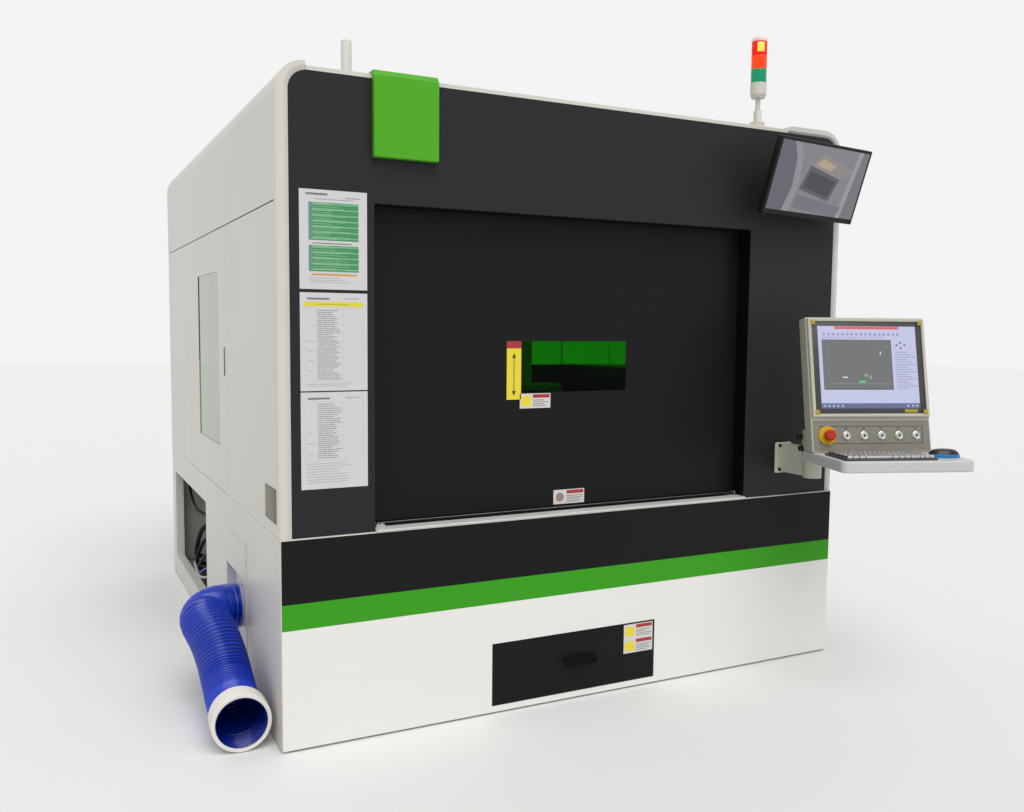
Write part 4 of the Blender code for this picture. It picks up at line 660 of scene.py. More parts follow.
def makeDuctLining(front, rear, bottom, top, sheet, near, far, gap):
    low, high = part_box("exhaust_duct")
    wall = far - sheet
    makeBlocks("ductLining", [
        ((near, front - sheet, bottom), (far, front, top)), ((near, rear, bottom), (far, rear + sheet, top)),
        ((near, front, top), (far, rear, top + sheet)), ((near, front, bottom - sheet), (far, rear, bottom)),
        ((wall, front, bottom), (far, low.y - gap, top)), ((wall, high.y + gap, bottom), (far, rear, top)),
        ((wall, low.y, high.z + gap), (far, high.y, top))], "lilacGrey", "enclosure", "shell_white", smooth=0)


makeDuctLining(**ductLining)


# wiring behind the service opening: the finish, the radius and the route of each cable
wiring = {
    "power": ("rubber", 0.0145, [
        (-0.960, 0.930, 0.651), (-0.960, 0.930, 0.611), (-0.962, 0.925, 0.560), (-0.975, 0.850, 0.400),
        (-0.970, 0.720, 0.280), (-0.930, 0.640, 0.240), (-0.880, 0.630, 0.236), (-0.842, 0.630, 0.236)]),
    "arch": ("plainRubber", 0.0075, [
        (-1.050, 1.060, 0.651), (-1.053, 1.056, 0.600), (-1.056, 1.035, 0.530), (-1.058, 0.980, 0.465),
        (-1.056, 0.870, 0.412), (-1.050, 0.730, 0.398), (-1.000, 0.600, 0.388), (-0.900, 0.540, 0.370),
        (-0.842, 0.530, 0.365)]),
    "upper": ("rubber", 0.0110, [
        (-0.842, 0.450, 0.400), (-0.930, 0.460, 0.396), (-1.025, 0.520, 0.376), (-1.056, 0.600, 0.338),
        (-1.062, 0.690, 0.272), (-1.060, 0.780, 0.202), (-1.040, 0.870, 0.150), (-0.960, 0.940, 0.125),
        (-0.842, 0.960, 0.120)]),
    "middle": ("rubber", 0.0100, [
        (-0.842, 0.430, 0.340), (-0.930, 0.440, 0.336), (-1.020, 0.490, 0.318), (-1.054, 0.565, 0.286),
        (-1.060, 0.650, 0.236), (-1.060, 0.740, 0.178), (-1.045, 0.840, 0.122), (-0.970, 0.900, 0.090),
        (-0.842, 0.920, 0.085)]),
    "lower": ("plainRubber", 0.0085, [
        (-0.842, 0.400, 0.275), (-0.930, 0.410, 0.272), (-1.020, 0.460, 0.256), (-1.054, 0.540, 0.222),
        (-1.060, 0.630, 0.176), (-1.058, 0.720, 0.128), (-1.030, 0.800, 0.096), (-0.940, 0.850, 0.080),
        (-0.842, 0.860, 0.078)]),
    "sensor": ("blueCable", 0.005, [
        (-0.842, 0.400, 0.210), (-0.930, 0.405, 0.205), (-1.030, 0.450, 0.190), (-1.060, 0.540, 0.156),
        (-1.064, 0.640, 0.118), (-1.060, 0.740, 0.092), (-1.010, 0.820, 0.078), (-0.842, 0.850, 0.072)]),
    "gas": ("greyCable", 0.006, [
        (-0.842, 0.360, 0.170), (-0.930, 0.365, 0.165), (-1.030, 0.420, 0.150), (-1.062, 0.520, 0.122),
        (-1.066, 0.640, 0.100), (-1.064, 0.760, 0.106), (-1.050, 0.880, 0.122), (-0.980, 0.970, 0.130),
        (-0.842, 0.990, 0.132)]),
}
conduit = {"pitch": 0.006, "depth": 0.0018, "sides": 4, "perRib": 4}
gland = {"gap": 0.0004, "nut": 0.007, "end": 0.020, "nutWidth": 0.006, "sleeve": 0.0045, "mouth": 0.0015}


def makeGlands(cables, gap, nut, end, nutWidth, sleeve, mouth):
    # where a cable enters the laser source, it passes a nut and a tapered sleeve
    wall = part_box("laser_source")[0].x
    rods = []
    for finish, radius, route in cables.values():
        for x, y, z in (route[0], route[-1]):
            if abs(x - wall) < 0.004:
                rods.append(((wall - gap, y, z), (wall - nut, y, z), radius + nutWidth, 6))
                rods.append(((wall - nut, y, z), (wall - end, y, z), radius + sleeve, 20, radius + mouth))
    makeBlocks("cableGlands", [], "plastic", "enclosure", "cable_black", rods=rods)


for label, (finish, radius, route) in wiring.items():
    ribs = {} if finish == "rubber" else {"depth": 0.0, "perRib": 1}
    ribbedTube(f"{label}Conduit", route, radius, finish=finish, body="enclosure", slot="cable_black",
               stands=["service_conduit"] if label == "power" else (), **(conduit | ribs))
makeGlands(wiring, **gland)


# raised door of the laser source, with its screws
sourceDoor = {"front": 0.12, "rear": 0.10, "bottom": 0.08, "top": 0.06, "proud": 0.004, "gap": 0.0004,
              "inset": 0.025, "screw": 0.006, "screwProud": 0.0065}


def makeSourceDoor(front, rear, bottom, top, proud, gap, inset, screw, screwProud):
    low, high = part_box("laser_source")
    face, tip = low.x - proud, low.x - screwProud
    near, far, foot, head = low.y + front, high.y - rear, low.z + bottom, high.z - top
    rods = [((face, y, z), (tip, y, z), screw, 12)
            for y in (near + inset, far - inset) for z in (foot + inset, head - inset)]
    makeBlocks("sourceDoor", [((face, near, foot), (low.x - gap, far, head), 0.0015)], "lightGrey",
               "enclosure", "laser_grey", rods=rods)


makeSourceDoor(**sourceDoor)
print("hose and wiring made")


# side door: the cup of its pull behind a light rim, lined in dark grey as painted shade, and the edge of the
# pane
sidePull = {"front": -0.3685, "rear": -0.3475, "bottom": 1.115, "top": 1.224, "rim": 0.0032, "proud": 0.0016,
            "deep": 0.0136, "gap": 0.0002, "sheet": 0.0012}
paneTrim = {"start": 0.822, "end": 1.150, "width": 0.0045, "frame": 0.019, "proud": 0.0022, "gap": 0.0004}


def makeSidePull(front, rear, bottom, top, rim, proud, deep, gap, sheet):
    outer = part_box("side_door_panel")[0].x
    sides = [((front - rim, bottom - rim), (front, top + rim)),
             ((rear, bottom - rim), (rear + rim, top + rim)),
             ((front, bottom - rim), (rear, bottom)), ((front, top), (rear, top + rim))]
    makeBlocks("sidePullRim", [((outer - proud, *low), (outer - gap, *high), 0.0005) for low, high in sides],
               "cuff", "side_door", "shell_white")
    floor, near = outer + deep, outer - 0.0006
    foot, head, start, end = bottom + gap, top - gap, front + gap, rear - gap
    # thin dark grey sheets line the recess of the pull: painted shade inside the cup
    makeBlocks("sidePullShadedCup", [
        ((floor - 0.0008, start, foot), (floor, end, head)),
        ((near, start, foot), (floor, front + sheet, head)), ((near, rear - sheet, foot), (floor, end, head)),
        ((near, front + sheet, foot), (floor, rear - sheet, bottom + sheet)),
        ((near, front + sheet, top - sheet), (floor, rear - sheet, head))],
        "darkGrey", "side_door", "shell_white", smooth=0)


def makePaneTrim(start, end, width, frame, proud, gap):
    low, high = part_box("side_window")
    far = high.y - frame
    for name, foot, head, finish in (("paneEdgeStrip", start, end, "paneEdge"),
                                     ("paneSealStrip", end + 0.001, high.z - frame, "plastic")):
        makeBlocks(name, [((low.x - proud, far - width, foot), (low.x - gap, far, head), 0.0004)], finish,
                   "side_door", "mirror_acrylic")


makeSidePull(**sidePull)
makePaneTrim(**paneTrim)


# rating plate with its rivets, low on the left side
ratingPlate = {"near": -1.190, "far": -1.040, "bottom": 0.702, "top": 0.809, "inset": 0.008, "rivet": 0.003}


def makeRatingPlate(near, far, bottom, top, inset, rivet):
    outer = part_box("left_front_panel")[0].x
    rods = [((outer - 0.001, y, z), (outer - 0.0026, y, z), rivet, 14, rivet * 0.6)
            for y in (near + inset, far - inset) for z in (bottom + inset, top - inset)]
    makeBlocks("ratingPlate", [((outer - 0.0012, near, bottom), (outer - 0.0002, far, top), 0.0004)], "plate",
               "enclosure", "bare_steel", rods=rods)


makeRatingPlate(**ratingPlate)


# dark rail with a bright lip standing on the sill, a bolted stop at one end and a turned-up tab at the other
sillRail = {"left": -0.800, "right": 0.662, "front": -1.168, "depth": 0.005, "height": 0.009, "lip": 0.0012,
            "stop": 0.006, "tab": 0.036, "wide": 0.030, "bolts": (0.008, 0.022)}


def makeSillRail(left, right, front, depth, height, lip, stop, tab, wide, bolts):
    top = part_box("door_sill")[1].z + 0.0002
    rear, crest, edge = front + depth, top + height, front - 0.0004
    makeBlocks("sillRail", [((left, front, top), (right, rear, crest - lip), 0.0006)], "plastic", "enclosure",
               "bare_steel")
    start, end, middle = left + stop, right - tab, front - 0.011
    rods = [((start + bolt, middle, top + 0.006), (start + bolt, middle, top + 0.011), 0.0042, 6)
            for bolt in bolts]
    makeBlocks("sillRailTrim", [
        ((left, front, crest - lip + 0.0001), (right, rear, crest), 0.0004),
        ((start, front - 0.022, top), (start + wide, edge, top + 0.006), 0.0012),
        ((end, front - 0.024, top), (end + wide, edge, top + 0.0025), 0.0008),
        ((end + wide - 0.003, front - 0.024, top + 0.0025), (end + wide, edge, top + 0.017), 0.0008)],
        "steel", "enclosure", "bare_steel", rods=rods)


makeSillRail(**sillRail)


# scrap drawer: the lip of its pull is short and glossy
drawerPull = {"face": -1.2435, "lip": 0.132}


def shortenPull(form):
    for corner in form.verts:
        if corner.co.y < drawerPull["face"] and corner.co.z < drawerPull["lip"]:
            corner.co.z = drawerPull["lip"]
    for face in form.faces:
        face.material_index = 1 if face.calc_center_median().y < drawerPull["face"] + 0.004 else 0


smoothCopy("scrap_drawer", ["black", "pullBlack"], "drawer", "panel_black", 40, shortenPull)
print("trim made")


# sheets, stickers and plates: plain fields of colour, with no writing on them
inks = {"paper": (203, 201, 202), "sticker": (206, 203, 197), "line": (150, 150, 154),
        "text": (112, 112, 117), "grid": (176, 176, 178), "green": (66, 150, 90),
        "darkGreen": (44, 116, 74), "paleGreen": (134, 184, 140),
        "blue": (88, 138, 140), "orange": (206, 140, 34), "gold": (214, 204, 40), "darkGold": (176, 166, 60),
        "yellow": (226, 206, 34), "red": (160, 26, 34), "dark": (40, 36, 34), "rose": (150, 118, 116)}
sheets = {"left": -1.042, "width": 0.209, "levels": ((1.415, 1.710), (1.109, 1.405), (0.809, 1.105)),
          "line": 0.0056, "columns": (0.0, 0.20, 0.66, 1.0)}
fineText = {"dash": (0.003, 0.016), "gap": 0.0016, "fill": 1.0}
noticeText = {"dash": (0.004, 0.010), "gap": 0.0016, "fill": 1.0}
stickers = {"lift": (-0.317, 1.060), "window": (-0.266, 1.0285), "low": (-0.129, 0.684),
            "drawer": (0.124, 0.131)}


def inked(*marks):
    # fields given as (left, low, right, high, ink, layer)
    return [field(*corners, tint(*inks[ink]), layer) for *corners, ink, layer in marks]


def dashRows(left, right, top, step, count, ink, height, seed, dash=(0.004, 0.013), gap=0.0022, fill=0.9):
    # short dashes in rows, each row with its own length
    rule = random.Random(seed)
    marks = []
    for row in range(count):
        level = top - step * row
        stop = left + (right - left) * rule.uniform(fill * 0.6, fill)
        run = left
        while run < stop:
            wide = min(rule.uniform(*dash), stop - run)
            marks += inked((run, level, run + wide, level + height, ink, 2))
            run += wide + gap
    return marks


def gridLines(left, right, low, high, rows, columns, ink, width=0.0005):
    levels = [low + (high - low) * row / rows for row in range(rows + 1)]
    spots = [left + (right - left) * share for share in columns]
    return (inked(*((left, level, right, level + width, ink, 1) for level in levels))
            + inked(*((spot, low, spot + width, high, ink, 1) for spot in spots)))


def makeNotices(left, width, levels, line, columns):
    first = inked((0.020, 0.279, 0.086, 0.285, "text", 2), (0.140, 0.273, 0.186, 0.276, "line", 2),
                  (0.046, 0.2665, 0.168, 0.2685, "line", 2))
    for low, high, seed in ((0.146, 0.258, 31), (0.053, 0.131, 32)):
        first += inked((0.028, low, 0.182, high, "green", 1))
        rule = random.Random(seed)
        for row in range(int((high - low) / line)):
            level = high - line * (row + 1)
            end = 0.040 + rule.uniform(0.05, 0.12)
            first += inked((0.028, level, 0.182, level + 0.0022, "darkGreen" if row % 3 else "paleGreen", 2),
                           (0.040, level + 0.0030, end, level + 0.0046, "paleGreen", 2))
        first += inked((0.028, low, 0.038, high, "blue", 3))
    first += inked((0.040, 0.1355, 0.160, 0.1385, "text", 2), (0.038, 0.0415, 0.176, 0.0465, "orange", 2))
    first += dashRows(0.030, 0.180, 0.033, 0.0065, 3, "line", 0.0016, 3)
    second = inked((0.012, 0.2545, 0.196, 0.2685, "gold", 1), (0.022, 0.275, 0.090, 0.2805, "text", 2),
                   (0.052, 0.2600, 0.150, 0.2625, "darkGold", 2), (0.138, 0.278, 0.182, 0.2805, "line", 2))
    second += gridLines(0.012, 0.196, 0.026, 0.250, 9, columns, "grid")
    second += dashRows(0.053, 0.128, 0.242, 0.0061, 35, "text", 0.0018, 5, **fineText)
    second += dashRows(0.022, 0.042, 0.150, 0.0300, 4, "line", 0.0018, 15, fill=1.0)
    second += dashRows(0.022, 0.190, 0.0195, 0.006, 2, "line", 0.0014, 6)
    third = inked((0.022, 0.274, 0.090, 0.2795, "text", 2), (0.138, 0.277, 0.182, 0.2795, "line", 2))
    third += gridLines(0.012, 0.196, 0.086, 0.266, 7, columns, "grid")
    third += dashRows(0.053, 0.128, 0.2585, 0.0063, 27, "text", 0.0018, 8, **fineText)
    third += dashRows(0.022, 0.042, 0.170, 0.0320, 3, "line", 0.0018, 18, fill=1.0)
    third += dashRows(0.018, 0.190, 0.077, 0.0082, 8, "line", 0.0016, 9)
    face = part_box("upper_front_panel")[0].y - 0.0008
    for label, (low, high), marks in zip(("Top", "Middle", "Low"), levels, (first, second, third)):
        printedPlate("notice" + label, Matrix.Translation((left, face, low)), (width, high - low), marks,
                     "paper", "enclosure", "shell_white", back=tint(*inks["paper"]))


def notice(width, height, seed, low=0.0, mark=None):
    # a coloured mark at the left, a red bar at the top right and lines of dashes under it
    mark = mark or inked((width * 0.05, low + height * 0.16, width * 0.36, low + height * 0.82, "yellow", 1))
    bar = inked((width * 0.42, low + height * 0.70, width * 0.97, low + height * 0.94, "red", 1))
    return mark + bar + dashRows(width * 0.43, width * 0.96, low + height * 0.52, height * 0.13, 4, "text",
                                 height * 0.055, seed, **noticeText)


def makeStickers(places):
    # the tall one shows which way the door moves
    arrow = inked((0.0, 0.175, 0.055, 0.200, "red", 1), (0.0260, 0.028, 0.0290, 0.144, "dark", 1))
    arrow += [([(0.0200, foot), (0.0350, foot), (0.0275, tip)], tint(*inks["dark"]), 1)
              for foot, tip in ((0.142, 0.160), (0.030, 0.012))]
    turns = [math.tau * step / 24 for step in range(24)]
    rim = [(0.026 + 0.016 * math.cos(turn), 0.025 + 0.016 * math.sin(turn)) for turn in turns]
    disc = [(rim, tint(*inks["rose"]), 1)]
    high, low = notice(0.120, 0.051, 21), notice(0.126, 0.051, 22, mark=disc)
    pair = notice(0.125, 0.052, 23) + notice(0.125, 0.052, 24, 0.054)
    for label, panel, width, height, marks, slot, back in (
            ("lift", "door_panel", 0.055, 0.200, arrow, "stop_yellow", "yellow"),
            ("window", "door_panel", 0.120, 0.051, high, "shell_white", "sticker"),
            ("low", "door_panel", 0.126, 0.051, low, "shell_white", "sticker"),
            ("drawer", "lower_front_panel", 0.125, 0.106, pair, "shell_white", "sticker")):
        x, z = places[label]
        place = Matrix.Translation((x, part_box(panel)[0].y - 0.0007, z))
        printedPlate(label + "Sticker", place, (width, height), marks, "paper",
                     "drawer" if label == "drawer" else "door", slot, back=tint(*inks[back]))


makeNotices(**sheets)
makeStickers(stickers)
print("sheets and stickers made")


# operator console, worked out in its own frame and turned into place
console = {"place": (0.952, -1.547, 1.172), "turn": -19.3, "lean": -11.8, "stripTop": -0.1925}
consoleBody = Matrix.Translation(console["place"]) @ Matrix.Rotation(math.radians(console["turn"]), 4, "Z")
consoleFace = consoleBody @ Matrix.Rotation(math.radians(console["lean"]), 4, "X")
screen = {"halfX": 0.2110, "halfZ": 0.1690, "front": -0.0102, "thick": 0.007,
          "active": (-0.188, -0.150, 0.188, 0.151), "label": (0.128, -0.1655, 0.178, -0.1535)}
screenTones = {"window": (190, 192, 224), "bar": (214, 92, 96), "tasks": (92, 100, 140), "edge": (66, 68, 70),
               "canvas": (104, 106, 106), "rule": (136, 140, 136), "tool": (150, 152, 186),
               "key": (86, 82, 118)}
consoleTrim = {"corner": 0.017, "level": -0.0145, "halfX": 0.2145, "halfZ": 0.1725, "line": 0.0014,
               "outline": (-0.196, -0.276, 0.196, -0.213), "dash": (0.012, 0.0022), "dashLevel": -0.2215}
buttonRow = {"spots": [-0.096 + 0.0665 * number for number in range(5)], "level": -0.247}


def cut(form, place, normal, **settings):
    bmesh.ops.bisect_plane(form, geom=form.verts[:] + form.edges[:] + form.faces[:], plane_co=place,
                           plane_no=normal, **settings)


def markConsoleStrip(form):
    # the front below the screen frame has a darker finish
    inward = consoleFace.inverted()
    top = console["stripTop"]
    cut(form, consoleFace @ Vector((0, 0, top)), (consoleFace.to_3x3() @ Vector((0, 0, 1))).normalized())
    form.normal_update()
    for face in form.faces:
        middle = inward @ face.calc_center_median()
        outward = inward.to_3x3() @ face.normal
        face.material_index = 1 if outward.y < -0.95 and middle.z < top and middle.y < 0.004 else 0


def screenPatches(width, height, tones):
    # a plain drawing program: pale window, grey canvas, tool rows and a task bar
    def patch(x0, y0, x1, y1, shade, layer=1):
        return field(width * x0, height * y0, width * x1, height * y1, tint(*tones.get(shade, shade)), layer)

    def row(count, x, step, wide, low, high, shade, layer=1):
        starts = [x + step * column for column in range(count)]
        return [patch(start, low, start + wide, high, shade, layer) for start in starts]

    marks = [patch(*values) for values in (
        (0.17, 0.963, 0.83, 0.997, "bar"), (0, 0, 1, 0.062, "tasks"), (0.035, 0.225, 0.742, 0.835, "edge"),
        (0.037, 0.234, 0.735, 0.833, "canvas", 2), (0.095, 0.30, 0.735, 0.3035, (150, 152, 150), 3),
        (0.095, 0.30, 0.098, 0.76, "rule", 3), (0.60, 0.74, 0.735, 0.743, "rule", 3),
        (0.62, 0.65, 0.635, 0.69, (190, 196, 192), 3), (0.23, 0.37, 0.28, 0.382, (226, 230, 226), 3),
        (0.39, 0.31, 0.46, 0.335, (86, 196, 122), 3), (0.45, 0.385, 0.487, 0.415, (150, 158, 150), 3),
        (0.505, 0.36, 0.520, 0.40, (160, 170, 160), 3))]
    marks += row(17, 0.05, 0.047, 0.026, 0.885, 0.915, "tool")
    marks += row(12, 0.05, 0.052, 0.036, 0.855, 0.868, (160, 160, 196))
    marks += [patch(x - 0.010, y - 0.010, x + 0.010, y + 0.010, "key")
              for x, y in ((0.84, 0.80), (0.80, 0.77), (0.88, 0.77), (0.84, 0.735))]
    for line in range(16):
        y = 0.68 - 0.030 * line
        marks.append(patch(0.775, y, 0.775 + 0.12 + 0.05 * ((line * 7) % 3), y + 0.009, (150, 150, 186)))
    marks += row(5, 0.02, 0.045, 0.022, 0.018, 0.044, (160, 174, 208), 2)
    marks += [patch(x, 0.02, x + 0.018, 0.042, (206, 184, 214), 2) for x in (0.87, 0.92, 0.96)]
    return marks


def makeScreen(halfX, halfZ, front, thick, active, label):
    left, low, right, high = active
    x0, z0, x1, z1 = label
    form = bmesh.new()
    addBlock(form, (-halfX, front, -halfZ), (halfX, front + thick, halfZ), 0.001)
    start = len(form.faces)
    addBlock(form, (x0, front - 0.0006, z0), (x1, front, z1), 0.0003)
    setFinish(form, start, 1)
    makePiece("consoleBezel", form, ["screenBorder", "cornerMark"], "console", "screen_black", consoleFace,
              stands=["console_screen"])
    size = (right - left, high - low)
    printedPlate("consolePicture", consoleFace @ Matrix.Translation((left, front - 0.0008, low)), size,
                 screenPatches(*size, screenTones), "screen", "console", "screen_black", thickness=0.0005,
                 back=tint(*screenTones["window"]))


def makeConsoleTrim(spots, corner, level, halfX, halfZ, line, outline, dash, dashLevel):
    # square marks at the corners of the screen frame
    across, upright = (((-half, corner - half), (half - corner, half)) for half in (halfX, halfZ))
    makeBlocks("screenCornerMarks", [((x0, level - 0.0006, z0), (x1, level + 0.0012, z1), 0.0003)
                                     for x0, x1 in across for z0, z1 in upright],
               "cornerMark", "console", "stop_yellow", consoleFace)
    # engraved outline round the buttons, and a short dash over each one
    left, low, right, high = outline
    wide, tall = dash
    areas = [(left, low, right, low + line), (left, high - line, right, high),
             (left, low + line, left + line, high - line), (right - line, low + line, right, high - line)]
    areas += [(spot - wide / 2, dashLevel, spot + wide / 2, dashLevel + tall) for spot in spots]
    makeBlocks("buttonOutline", [((x0, -0.0006, z0), (x1, 0.0006, z1)) for x0, z0, x1, z1 in areas],
               "plastic", "console", "console_beige", consoleFace, smooth=0)


def makeButtonRings(spots, level):
    ring = [(0.0118, 0.0005), (0.0118, 0.0045), (0.0128, 0.0050), (0.0146, 0.0044), (0.0158, 0.0028),
            (0.0160, 0.0002), (0.0118, 0.0002)]
    centre = [(0, 0.0073), (0.0040, 0.0073), (0.0044, 0.0068), (0.0044, 0.0061), (0, 0.0061)]
    for number, x in enumerate(spots, 1):
        place = consoleFace @ Matrix.Translation((x, 0, level)) @ Matrix.Rotation(math.pi / 2, 4, "X")
        makeTurned(f"buttonRing{number}", ring, 36, "ringMetal", "console", "button_white", place)
        makeTurned(f"buttonCentre{number}", centre, 24, "plastic", f"button_{number}", "button_white", place)


def makeSideKnobs():
    # two black knobs on the left side of the housing
    side = Matrix.Translation((-0.2277, 0, 0)) @ Matrix.Rotation(-math.pi / 2, 4, "Y")
    rods = []
    for y, z, length in ((0.030, -0.255, 0.016), (0.022, -0.296, 0.013)):
        for start, end, radius, tip in ((0.0, 0.003, 0.013, 0.0105), (0.003, length - 0.002, 0.010, 0.010),
                                        (length - 0.002, length, 0.010, 0.008)):
            rods.append((side @ Vector((z, y, start)), side @ Vector((z, y, end)), radius, 24, tip))
    makeBlocks("sideKnobs", [], "gloss", "console", "mouse_black", consoleBody, rods=rods)


smoothCopy("console_housing", ["beige", "strip"], "console", "console_beige", 40, markConsoleStrip)
makeScreen(**screen)
makeConsoleTrim(buttonRow["spots"], **consoleTrim)
makeButtonRings(**buttonRow)
makeSideKnobs()


# keyboard: a bed with rows of caps, each row given by the widths of its keys
keyboard = {"left": -0.208, "front": -0.276, "width": 0.330, "depth": 0.160, "floor": -0.3017, "bed": 0.0065,
            "gap": 0.0022, "rise": 0.0088, "margin": 0.008}
keyRows = [[1] * 18, [1] * 13 + [2] + [1] * 3, [1.5] + [1] * 12 + [1.5] + [1] * 3,
           [1.8] + [1] * 11 + [2.2] + [1] * 3, [2.3] + [1] * 10 + [2.7] + [1] * 3,
           [1.3, 1.2, 1.3, 5.6, 1.3, 1.2, 1.3, 1.8, 1, 1, 1]]
mouse = {"place": (0.188, -0.200, -0.3017), "turn": -6, "size": (0.112, 0.064, 0.036), "seam": 0.012,
         "groove": 0.0012, "crown": 0.026, "flatten": 0.45}


def makeKeyboard(rows, left, front, width, depth, floor, bed, gap, rise, margin):
    top = floor + bed
    form = bmesh.new()
    addBlock(form, (left, front, floor), (left + width, front + depth, top), 0.002)
    start = len(form.faces)
    pitch = (depth - 2 * margin) / len(rows)
    for number, row in enumerate(rows):
        near = front + depth - margin - pitch * (number + 1)
        run = left + margin
        for share in row:
            wide = (width - 2 * margin) / sum(row) * share
            addBlock(form, (run + gap / 2, near + gap / 2, top - 0.0005),
                     (run + wide - gap / 2, near + pitch - gap / 2, top + rise), 0.0014, 2)
            run += wide
    setFinish(form, start, 1)
    makePiece("keyboardCaps", form, ["keyBed", "keyCaps"], "console", "key_silver", consoleBody,
              stands=["keyboard"])


def makeMouse(place, turn, size, seam, groove, crown, flatten):
    # a low body with its long side across: blue below the seam, black above, its crown pressed flat
    wide, long, high = size
    form = bmesh.new()
    bmesh.ops.create_uvsphere(form, u_segments=40, v_segments=24, radius=0.5)
    bmesh.ops.scale(form, vec=(wide, long, 2 * high), verts=form.verts)
    cut(form, (0, 0, seam), (0, 0, 1))
    cut(form, (0, 0, seam + groove), (0, 0, 1))
    cut(form, (0, 0, 0.0004), (0, 0, -1), clear_outer=True)
    bmesh.ops.contextual_create(form, geom=[edge for edge in form.edges if edge.is_boundary])
    for corner in form.verts:
        if corner.co.z > crown:
            corner.co.z = crown + (corner.co.z - crown) * flatten
        if seam + 0.0001 < corner.co.z < seam + groove + 0.0002:
            corner.co.x *= 0.985
            corner.co.y *= 0.975
    for face in form.faces:
        face.material_index = 1 if face.calc_center_median().z < seam else 0
    spot = consoleBody @ Matrix.Translation(place) @ Matrix.Rotation(math.radians(turn), 4, "Z")
    makePiece("mouseBody", form, ["gloss", "mouseBlue"], "console", "mouse_black", spot, smooth=50,
              stands=["mouse"])


makeKeyboard(keyRows, **keyboard)
makeMouse(**mouse)


# two socket screws hold the bracket to the machine
bracketBolts = {"levels": (0.858, 0.764), "inset": 0.018, "plate": 0.0125, "head": 0.0065, "socket": 0.0045}


def makeBracketBolts(levels, inset, plate, head, socket):
    low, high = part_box("console_bracket")
    x, face = low.x + inset, high.y - plate
    rods = [((x, face - start, level), (x, face - end, level), radius, steps) for level in levels
            for start, end, radius, steps in ((0, 0.005, head, 18), (0.005, 0.0075, socket, 6))]
    makeBlocks("bracketBolts", [], "gloss", "enclosure", "mouse_black", rods=rods)


makeBracketBolts(**bracketBolts)
print("console made")


# wall monitor with a dim camera picture of the cutting room
monitor = {"place": (0.859, -1.323, 1.868), "turn": 1.5, "tilt": 17.9, "roll": 2.0, "front": -0.0452,
           "picture": (-0.2195, -0.1200, 0.2195, 0.1280)}
monitorFace = (Matrix.Translation(monitor["place"]) @ Matrix.Rotation(math.radians(monitor["turn"]), 4, "Z")
               @ Matrix.Rotation(math.radians(monitor["tilt"]), 4, "X")
               @ Matrix.Rotation(math.radians(monitor["roll"]), 4, "Y"))
# slanted fields in tones of grey, each as (outline, colour, layer)
monitorShades = [
    ([(0.0, 0.0), (0.17, 0.0), (0.22, 0.35), (0.20, 0.75), (0.13, 1.0), (0.0, 1.0)], (88, 88, 98), 1),
    ([(0.17, 0.0), (0.25, 0.0), (0.29, 0.4), (0.26, 0.8), (0.20, 1.0), (0.13, 1.0), (0.20, 0.75),
      (0.22, 0.35)],
     (134, 132, 138), 1),
    ([(0.30, 0.34), (0.66, 0.22), (0.73, 0.56), (0.37, 0.70)], (78, 78, 88), 2),
    ([(0.34, 0.38), (0.64, 0.28), (0.69, 0.52), (0.39, 0.62)], (54, 54, 62), 3),
    ([(0.37, 0.70), (0.73, 0.56), (0.86, 0.70), (0.50, 0.90)], (132, 126, 122), 2),
    ([(0.42, 0.72), (0.60, 0.66), (0.66, 0.74), (0.49, 0.82)], (168, 150, 124), 3),
    ([(0.28, 0.06), (0.74, 0.0), (0.80, 0.0), (0.84, 0.16), (0.30, 0.26)], (104, 104, 114), 2),
    ([(0.80, 0.0), (0.85, 0.0), (0.93, 1.0), (0.88, 1.0)], (142, 140, 146), 2),
    ([(0.85, 0.0), (1.0, 0.0), (1.0, 1.0), (0.93, 1.0)], (104, 104, 112), 1),
]
monitorCover = {"half": 0.150, "bottom": -0.085, "top": 0.080, "front": -0.0168, "rear": -0.0040, "slots": 7,
                "slotHalf": 0.06, "slotStart": 0.02, "slotPitch": 0.007}


def makeMonitorPicture(values, shades):
    left, low, right, high = values["picture"]
    width, height = right - left, high - low
    marks = [([(width * x, height * z) for x, z in outline], tint(*shade), layer)
             for outline, shade, layer in shades]
    printedPlate("monitorPicture", monitorFace @ Matrix.Translation((left, values["front"] - 0.0007, low)),
                 (width, height), marks, "screen", "monitor", "screen_black", thickness=0.0005,
                 back=tint(120, 119, 126))


def makeMonitorCover(half, bottom, top, front, rear, slots, slotHalf, slotStart, slotPitch):
    blocks = [((-half, front, bottom), (half, rear, top), 0.005)]
    for slot in range(slots):
        z = slotStart + slotPitch * slot
        blocks.append(((-slotHalf, rear - 0.0002, z), (slotHalf, rear + 0.0012, z + 0.003), 0.0005, 1))
    makeBlocks("monitorBackCover", blocks, "plastic", "monitor", "monitor_black", monitorFace)


makeMonitorPicture(monitor, monitorShades)
makeMonitorCover(**monitorCover)
print("monitor made")


# inside the cutting room: rails and chain on the gantry, nozzle and collar on the head
gantryDetail = {"drops": (0.030, 0.130), "inset": 0.10, "proud": 0.012, "half": 0.009, "links": 34,
                "start": 0.12, "pitch": 0.022, "link": 0.019}
nozzle = [(0.0018, -0.0005), (0.0052, 0.0002), (0.0150, 0.0185), (0.0175, 0.024), (0.0175, 0.032),
          (0.0240, 0.0385)]
headCollar = [(0.0365, 0.060), (0.0385, 0.062), (0.0385, 0.090), (0.0365, 0.092)]


